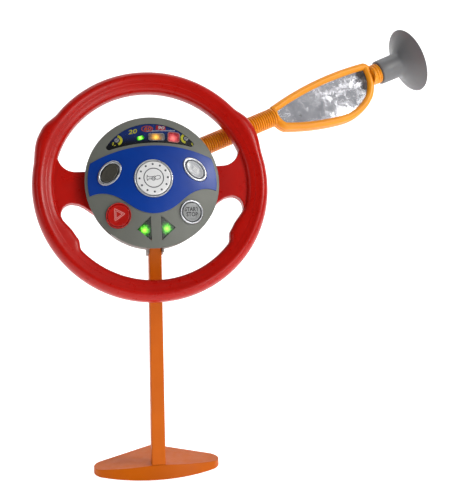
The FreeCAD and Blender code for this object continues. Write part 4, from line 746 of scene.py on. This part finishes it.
handset = turned_points(PHONE_AT, PHONE_TURN, [(-5.4, -1.6), (-5.0, 0.6), (-2.6, 1.7), (0.0, 2.0),
                                               (2.6, 1.7), (5.0, 0.6), (5.4, -1.6)])
on_hub("phone_sign", merged([stroke(handset, 1.5, SIGN_UP), stroke(handset[:2], 2.6, SIGN_UP),
                             stroke(handset[-2:], 2.6, SIGN_UP)]),
       DARK_CAP, "phone_button")
radio_lines = [turned_points(RADIO_AT, RADIO_TURN, [(-w, u), (w, u)]) for w, u in
               ((3.6, 3.0), (5.2, 1.5), (5.8, 0.0), (5.2, -1.5), (3.6, -3.0))]
on_hub("radio_sign", merged([stroke(edges_of(line)[:9], 0.8, SIGN_UP) for line in radio_lines]),
       SILVER_CAP, "radio_button")

# Turn arrows: translucent lenses sunk in the face, each tapering outwards.
ARROW_U, ARROW_FROM, ARROW_TO = -48.9, 5.5, 18.6


def arrow_half(x):
    """Half height of an arrow lens at x."""
    return 11.4 * (1 - (abs(x) - ARROW_FROM) / 13.6)


for side, word, finish in ((-1, "left", GREEN_LEFT), (1, "right", GREEN_RIGHT)):
    xs = [side * x for x in span(ARROW_FROM, ARROW_TO, 20)]
    if side < 0:
        xs.reverse()
    lens = field(lambda x: ARROW_U - arrow_half(x), lambda x: ARROW_U + arrow_half(x), xs,
                 lambda x, u: dome(x, u, -1.3), 1.2)
    on_hub("turn_lens_" + word, lens, finish, slot="green_lens",
           replaces=["turn_lenses"] if side < 0 else [])

# ---- bendable arm ------------------------------------------------------------------------------
RIB = BEND_STEP / 6
SLEEVE_R, NECK_R, GROOVE = 10.0, 11.0, 1.3
ARM_BODIES = [BENDS[0]["parent"]] + [bend["child"] for bend in BENDS]


def ribbed_sleeve(start, end, radius, depth, pitch=RIB, steps=10):
    """Sleeve with round crests and narrow grooves, a groove at every whole pitch."""
    count = max(4, round((end - start) / pitch * steps))
    profile = []
    for along in span(start, end, count):
        groove = (0.5 + 0.5 * math.cos(2 * math.pi * along / pitch)) ** 1.6
        profile.append((along, radius - depth * groove))
    return turned(profile, 72)


for number, bend in enumerate(BENDS):
    middle = number * BEND_STEP
    start = middle - BEND_STEP / 2 if number else -2.9
    end = middle + BEND_STEP / 2
    stands_for = ["arm_segment_%d" % (number + 1)] + ([] if number else ["arm_wire"])
    sleeve = piece("arm_sleeve_%d" % (number + 1), ribbed_sleeve(start, end, SLEEVE_R, GROOVE), ARM, RIBBED,
                   slot="yellow_pe", replaces=stands_for, smooth=70.0)
    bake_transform(sleeve)
last = 5.5 * BEND_STEP
piece("arm_sleeve_end", ribbed_sleeve(last, last + 12.0, SLEEVE_R, GROOVE), ARM, RIBBED, body="mirror",
      slot="yellow_pe", smooth=70.0)

# ---- mirror ------------------------------------------------------------------------------------
BEZEL_HALF, BEZEL_MID, BEZEL_RISE, BEZEL_STEPS = 4.0, 2.2, 4.3, 20
FILM_INSET = 5.6
MIRROR_ARCS = [((97.5, 10.5), (148.0, 18.0)), ((218.0, 16.5), (223.8, 13.4)),
               ((225.0, 7.0), (221.6, -9.0)), ((211.0, -24.0), (192.5, -33.8)),
               ((168.0, -36.2), (133.0, -29.2)), ((102.0, -18.5), (94.4, -4.5))]


def mirror_outline():
    """Outline of the mirror's bezel, clockwise, from arcs that each start where the last one ends."""
    made = []
    for k, (start, middle) in enumerate(MIRROR_ARCS):
        made += arc_through(start, middle, MIRROR_ARCS[(k + 1) % len(MIRROR_ARCS)][0], 24)
    return made


def inset(outline, distance):
    """Outline moved in by a distance; it runs clockwise."""
    made, count = [], len(outline)
    for k, (x, y) in enumerate(outline):
        (ax, ay), (bx, by) = outline[(k - 2) % count], outline[(k + 2) % count]
        dx, dy = bx - ax, by - ay
        size = math.hypot(dx, dy)
        made.append((x + dy / size * distance, y - dx / size * distance))
    return made


outline = mirror_outline()
section = []
for k in range(BEZEL_STEPS):
    t = 2 * math.pi * k / BEZEL_STEPS
    section.append((BEZEL_HALF - BEZEL_HALF * math.cos(t), BEZEL_MID + BEZEL_RISE * math.sin(t)))
rails = [inset(outline, distance) for distance, height in section]
bezel = loft([[(rails[k][j][0], rails[k][j][1], section[k][1]) for k in range(BEZEL_STEPS)]
              for j in range(len(outline))], closed_row=True)
piece("mirror_bezel", bezel, ARM, YELLOW, body="mirror", slot="yellow_pe", replaces=["mirror_frame"],
      smooth=80.0)


def crossing(rail, x, side):
    """Highest or lowest y of an outline at x."""
    found = []
    for k, (ax, ay) in enumerate(rail):
        bx, by = rail[(k + 1) % len(rail)]
        if ax != bx and min(ax, bx) <= x <= max(ax, bx):
            found.append(ay + (by - ay) * (x - ax) / (bx - ax))
    return max(found) if side > 0 else min(found)


film_rail = inset(outline, FILM_INSET)
film_ends = min(x for x, y in film_rail) + 0.2, max(x for x, y in film_rail) - 0.2


def foil_height(x, y):
    """Foil height: level, with slow waves."""
    slow, cross, fine = math.sin(x / 11.0 + 0.4), math.sin(x / 6.3 + y / 9.0), math.sin(y / 4.7)
    return 2.55 + 0.14 * slow + 0.09 * cross + 0.05 * fine


piece("mirror_foil_sheet", field(lambda x: crossing(film_rail, x, -1), lambda x: crossing(film_rail, x, 1),
                                 span(*film_ends, 100), foil_height, 0.4, rows=24),
      ARM, FOIL, body="mirror", slot="mirror_foil", replaces=["mirror_film"], smooth=60.0)

# ---- neck and suction cup ----------------------------------------------------------------------
CUP_FROM = NECK_AT + NECK_STEP
for name, joint, start, end, stands_for in (
        ("neck_rib_1", "neck_turn", NECK_AT - 3.0, NECK_AT + NECK_STEP / 2, ["neck_rib"]),
        ("neck_rib_2", "cup_tilt", NECK_AT + NECK_STEP / 2, CUP_FROM + 4.0, [])):
    rib = piece(name, ribbed_sleeve(start, end, NECK_R, GROOVE, pitch=3.2, steps=12), ARM, YELLOW,
                slot="yellow_pe", replaces=stands_for, smooth=70.0)
    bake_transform(rib)
LIP = 274.4
# Along the arm and radius: out over the cup's back to its lip, then back down its hollow.
cup = [(CUP_FROM + 1.9, 9.8), (CUP_FROM + 1.6, 11.5), (CUP_FROM + 1.8, 12.6), (CUP_FROM + 2.6, 13.0),
       (CUP_FROM + 10, 13.2), (257.0, 13.3), (259.0, 13.7), (261.0, 14.9), (263.0, 16.9), (265.0, 19.6),
       (267.0, 22.8), (269.0, 26.2), (271.0, 29.8), (272.6, 32.9), (273.4, 34.7), (274.0, 35.4),
       (LIP, 35.3), (LIP - 0.3, 34.4), (273.2, 32.9), (271.6, 29.7), (269.6, 25.6), (267.6, 21.4),
       (265.8, 16.8), (264.6, 11.0), (264.0, 5.0), (263.8, 0.4)]
piece("window_cup", turned(cup, 120), ARM, VINYL, body="cup", slot="cup_vinyl", replaces=["suction_cup"],
      smooth=60.0)

# ---- CAD pieces shown as they are --------------------------------------------------------------
SHOWN = {
    "rear_casing": CASING, "battery_door": CASING, "spoke_shields": CASING, "hub_face": GREY,
    "blue_panel": BLUE, "stem": ORANGE, "foot": ORANGE, "dash_window": WINDOW,
    "leds": SILICONE, "mirror_back": YELLOW, "arm_plug": YELLOW, "cup_plug": YELLOW,
    "circuit_board": MASK, "switches": BLACK, "speaker": FRAME_STEEL, "batteries": JACKET,
    "battery_contacts": CONTACT,
}
for name in frame["nodes"]:
    if name.endswith("_rubber"):
        SHOWN[name] = SILICONE
    elif name.endswith(("screws", "screw", "washer")) and name != "dial_screws":
        SHOWN[name] = STEEL
for name, finish in SHOWN.items():
    node = frame["nodes"][name]
    node.data.materials.clear()
    node.data.materials.append(finish)

# ---- camera, floor and light -------------------------------------------------------------------
def paper():
    """Matt white seamless paper."""
    made, tree, place = start_material("white paper sweep", Roughness=0.9, Emission_Strength=0.78)
    fibre = add(tree, "TexNoise", {"Vector": place, "Scale": cells(180.0)})
    tint = add(tree, "Mix", {0: fibre, 6: colour("f6f6f6"), 7: colour("f0f0f0")}, 2, data_type="RGBA")
    connect(tree, Base_Color=tint, Emission_Color=tint)
    return made


def sweep():
    """Floor that curves up into a backdrop."""
    rows = [(-3500.0, -0.2)] + [(1500.0 + 1500 * math.sin(math.radians(a)),
                                 -0.2 + 1500 * (1 - math.cos(math.radians(a)))) for a in range(0, 91, 6)]
    rows.append((3000.0, 4500.0))
    rings = [[(-4500.0, y, z), (4500.0, y, z)] for y, z in rows]
    return loft(rings, closed_ring=False)


CAMERA_AT = (-0.1584, -1.3544, 0.7013)
LENS_MM, SENSOR_MM = 101.93, 36.0
YAW, DOWN = math.radians(9.64), math.radians(18.26)
piece("paper_sweep", sweep(), Matrix.Identity(4), paper(), smooth=60.0)

camera = bpy.data.cameras.new("camera")
camera.lens = LENS_MM
camera.sensor_width = SENSOR_MM
camera.clip_start = 0.05
camera.clip_end = 20.0
view = bpy.data.objects.new("camera", camera)
bpy.context.scene.collection.objects.link(view)
forward = Vector((math.sin(YAW) * math.cos(DOWN), math.cos(YAW) * math.cos(DOWN), -math.sin(DOWN)))
view.location = CAMERA_AT
view.rotation_mode = "QUATERNION"
view.rotation_quaternion = forward.to_track_quat("-Z", "Y")
bpy.context.scene.camera = view


def softbox(name, at, target, width, height, power, tint):
    """A rectangular area light aimed at a point; metres and watts."""
    lamp = bpy.data.lights.new(name, "AREA")
    lamp.shape = "RECTANGLE"
    lamp.size, lamp.size_y = width, height
    lamp.energy = power
    lamp.color = colour(tint)[:3]
    obj = bpy.data.objects.new(name, lamp)
    bpy.context.scene.collection.objects.link(obj)
    obj.location = at
    obj.rotation_mode = "QUATERNION"
    obj.rotation_quaternion = (Vector(target) - Vector(at)).to_track_quat("-Z", "Y")


softbox("ceiling card", (1.5, -1.4, 2.4), (0.1, 0.05, 0.3), 2.4, 2.4, 7.0, "ffffff")
softbox("key softbox", (1.67, -0.97, 1.65), (0.1, 0.05, 0.3), 0.8, 0.8, 27.0, "fffdf8")
softbox("left softbox", (-1.6, -0.7, 1.1), (0.0, 0.05, 0.3), 0.4, 1.0, 3.0, "f8faff")
softbox("front softbox", (1.1, -2.0, 0.75), (0.05, 0.05, 0.25), 0.9, 0.8, 12.0, "ffffff")
softbox("top softbox", (0.0, 0.9, 2.2), (0.05, 0.1, 0.2), 1.8, 1.0, 12.0, "ffffff")

world = bpy.data.worlds.new("studio")
bpy.context.scene.world = world
world.use_nodes = True
sky = world.node_tree
up = add(sky, "SeparateXYZ", {0: add(sky, "TexCoord", {}, "Generated")}, 2)
tone = add(sky, "MapRange", {0: up, 1: -0.2, 2: 0.9, 3: 0.0, 4: 1.0})
shade = add(sky, "Mix", {0: tone, 6: colour("f4f4f6"), 7: colour("c8c8cc")}, 2, data_type="RGBA")
sky.links.new(shade, sky.nodes["Background"].inputs["Color"])
sky.nodes["Background"].inputs["Strength"].default_value = 0.14
bpy.context.scene.view_settings.view_transform = "Standard"
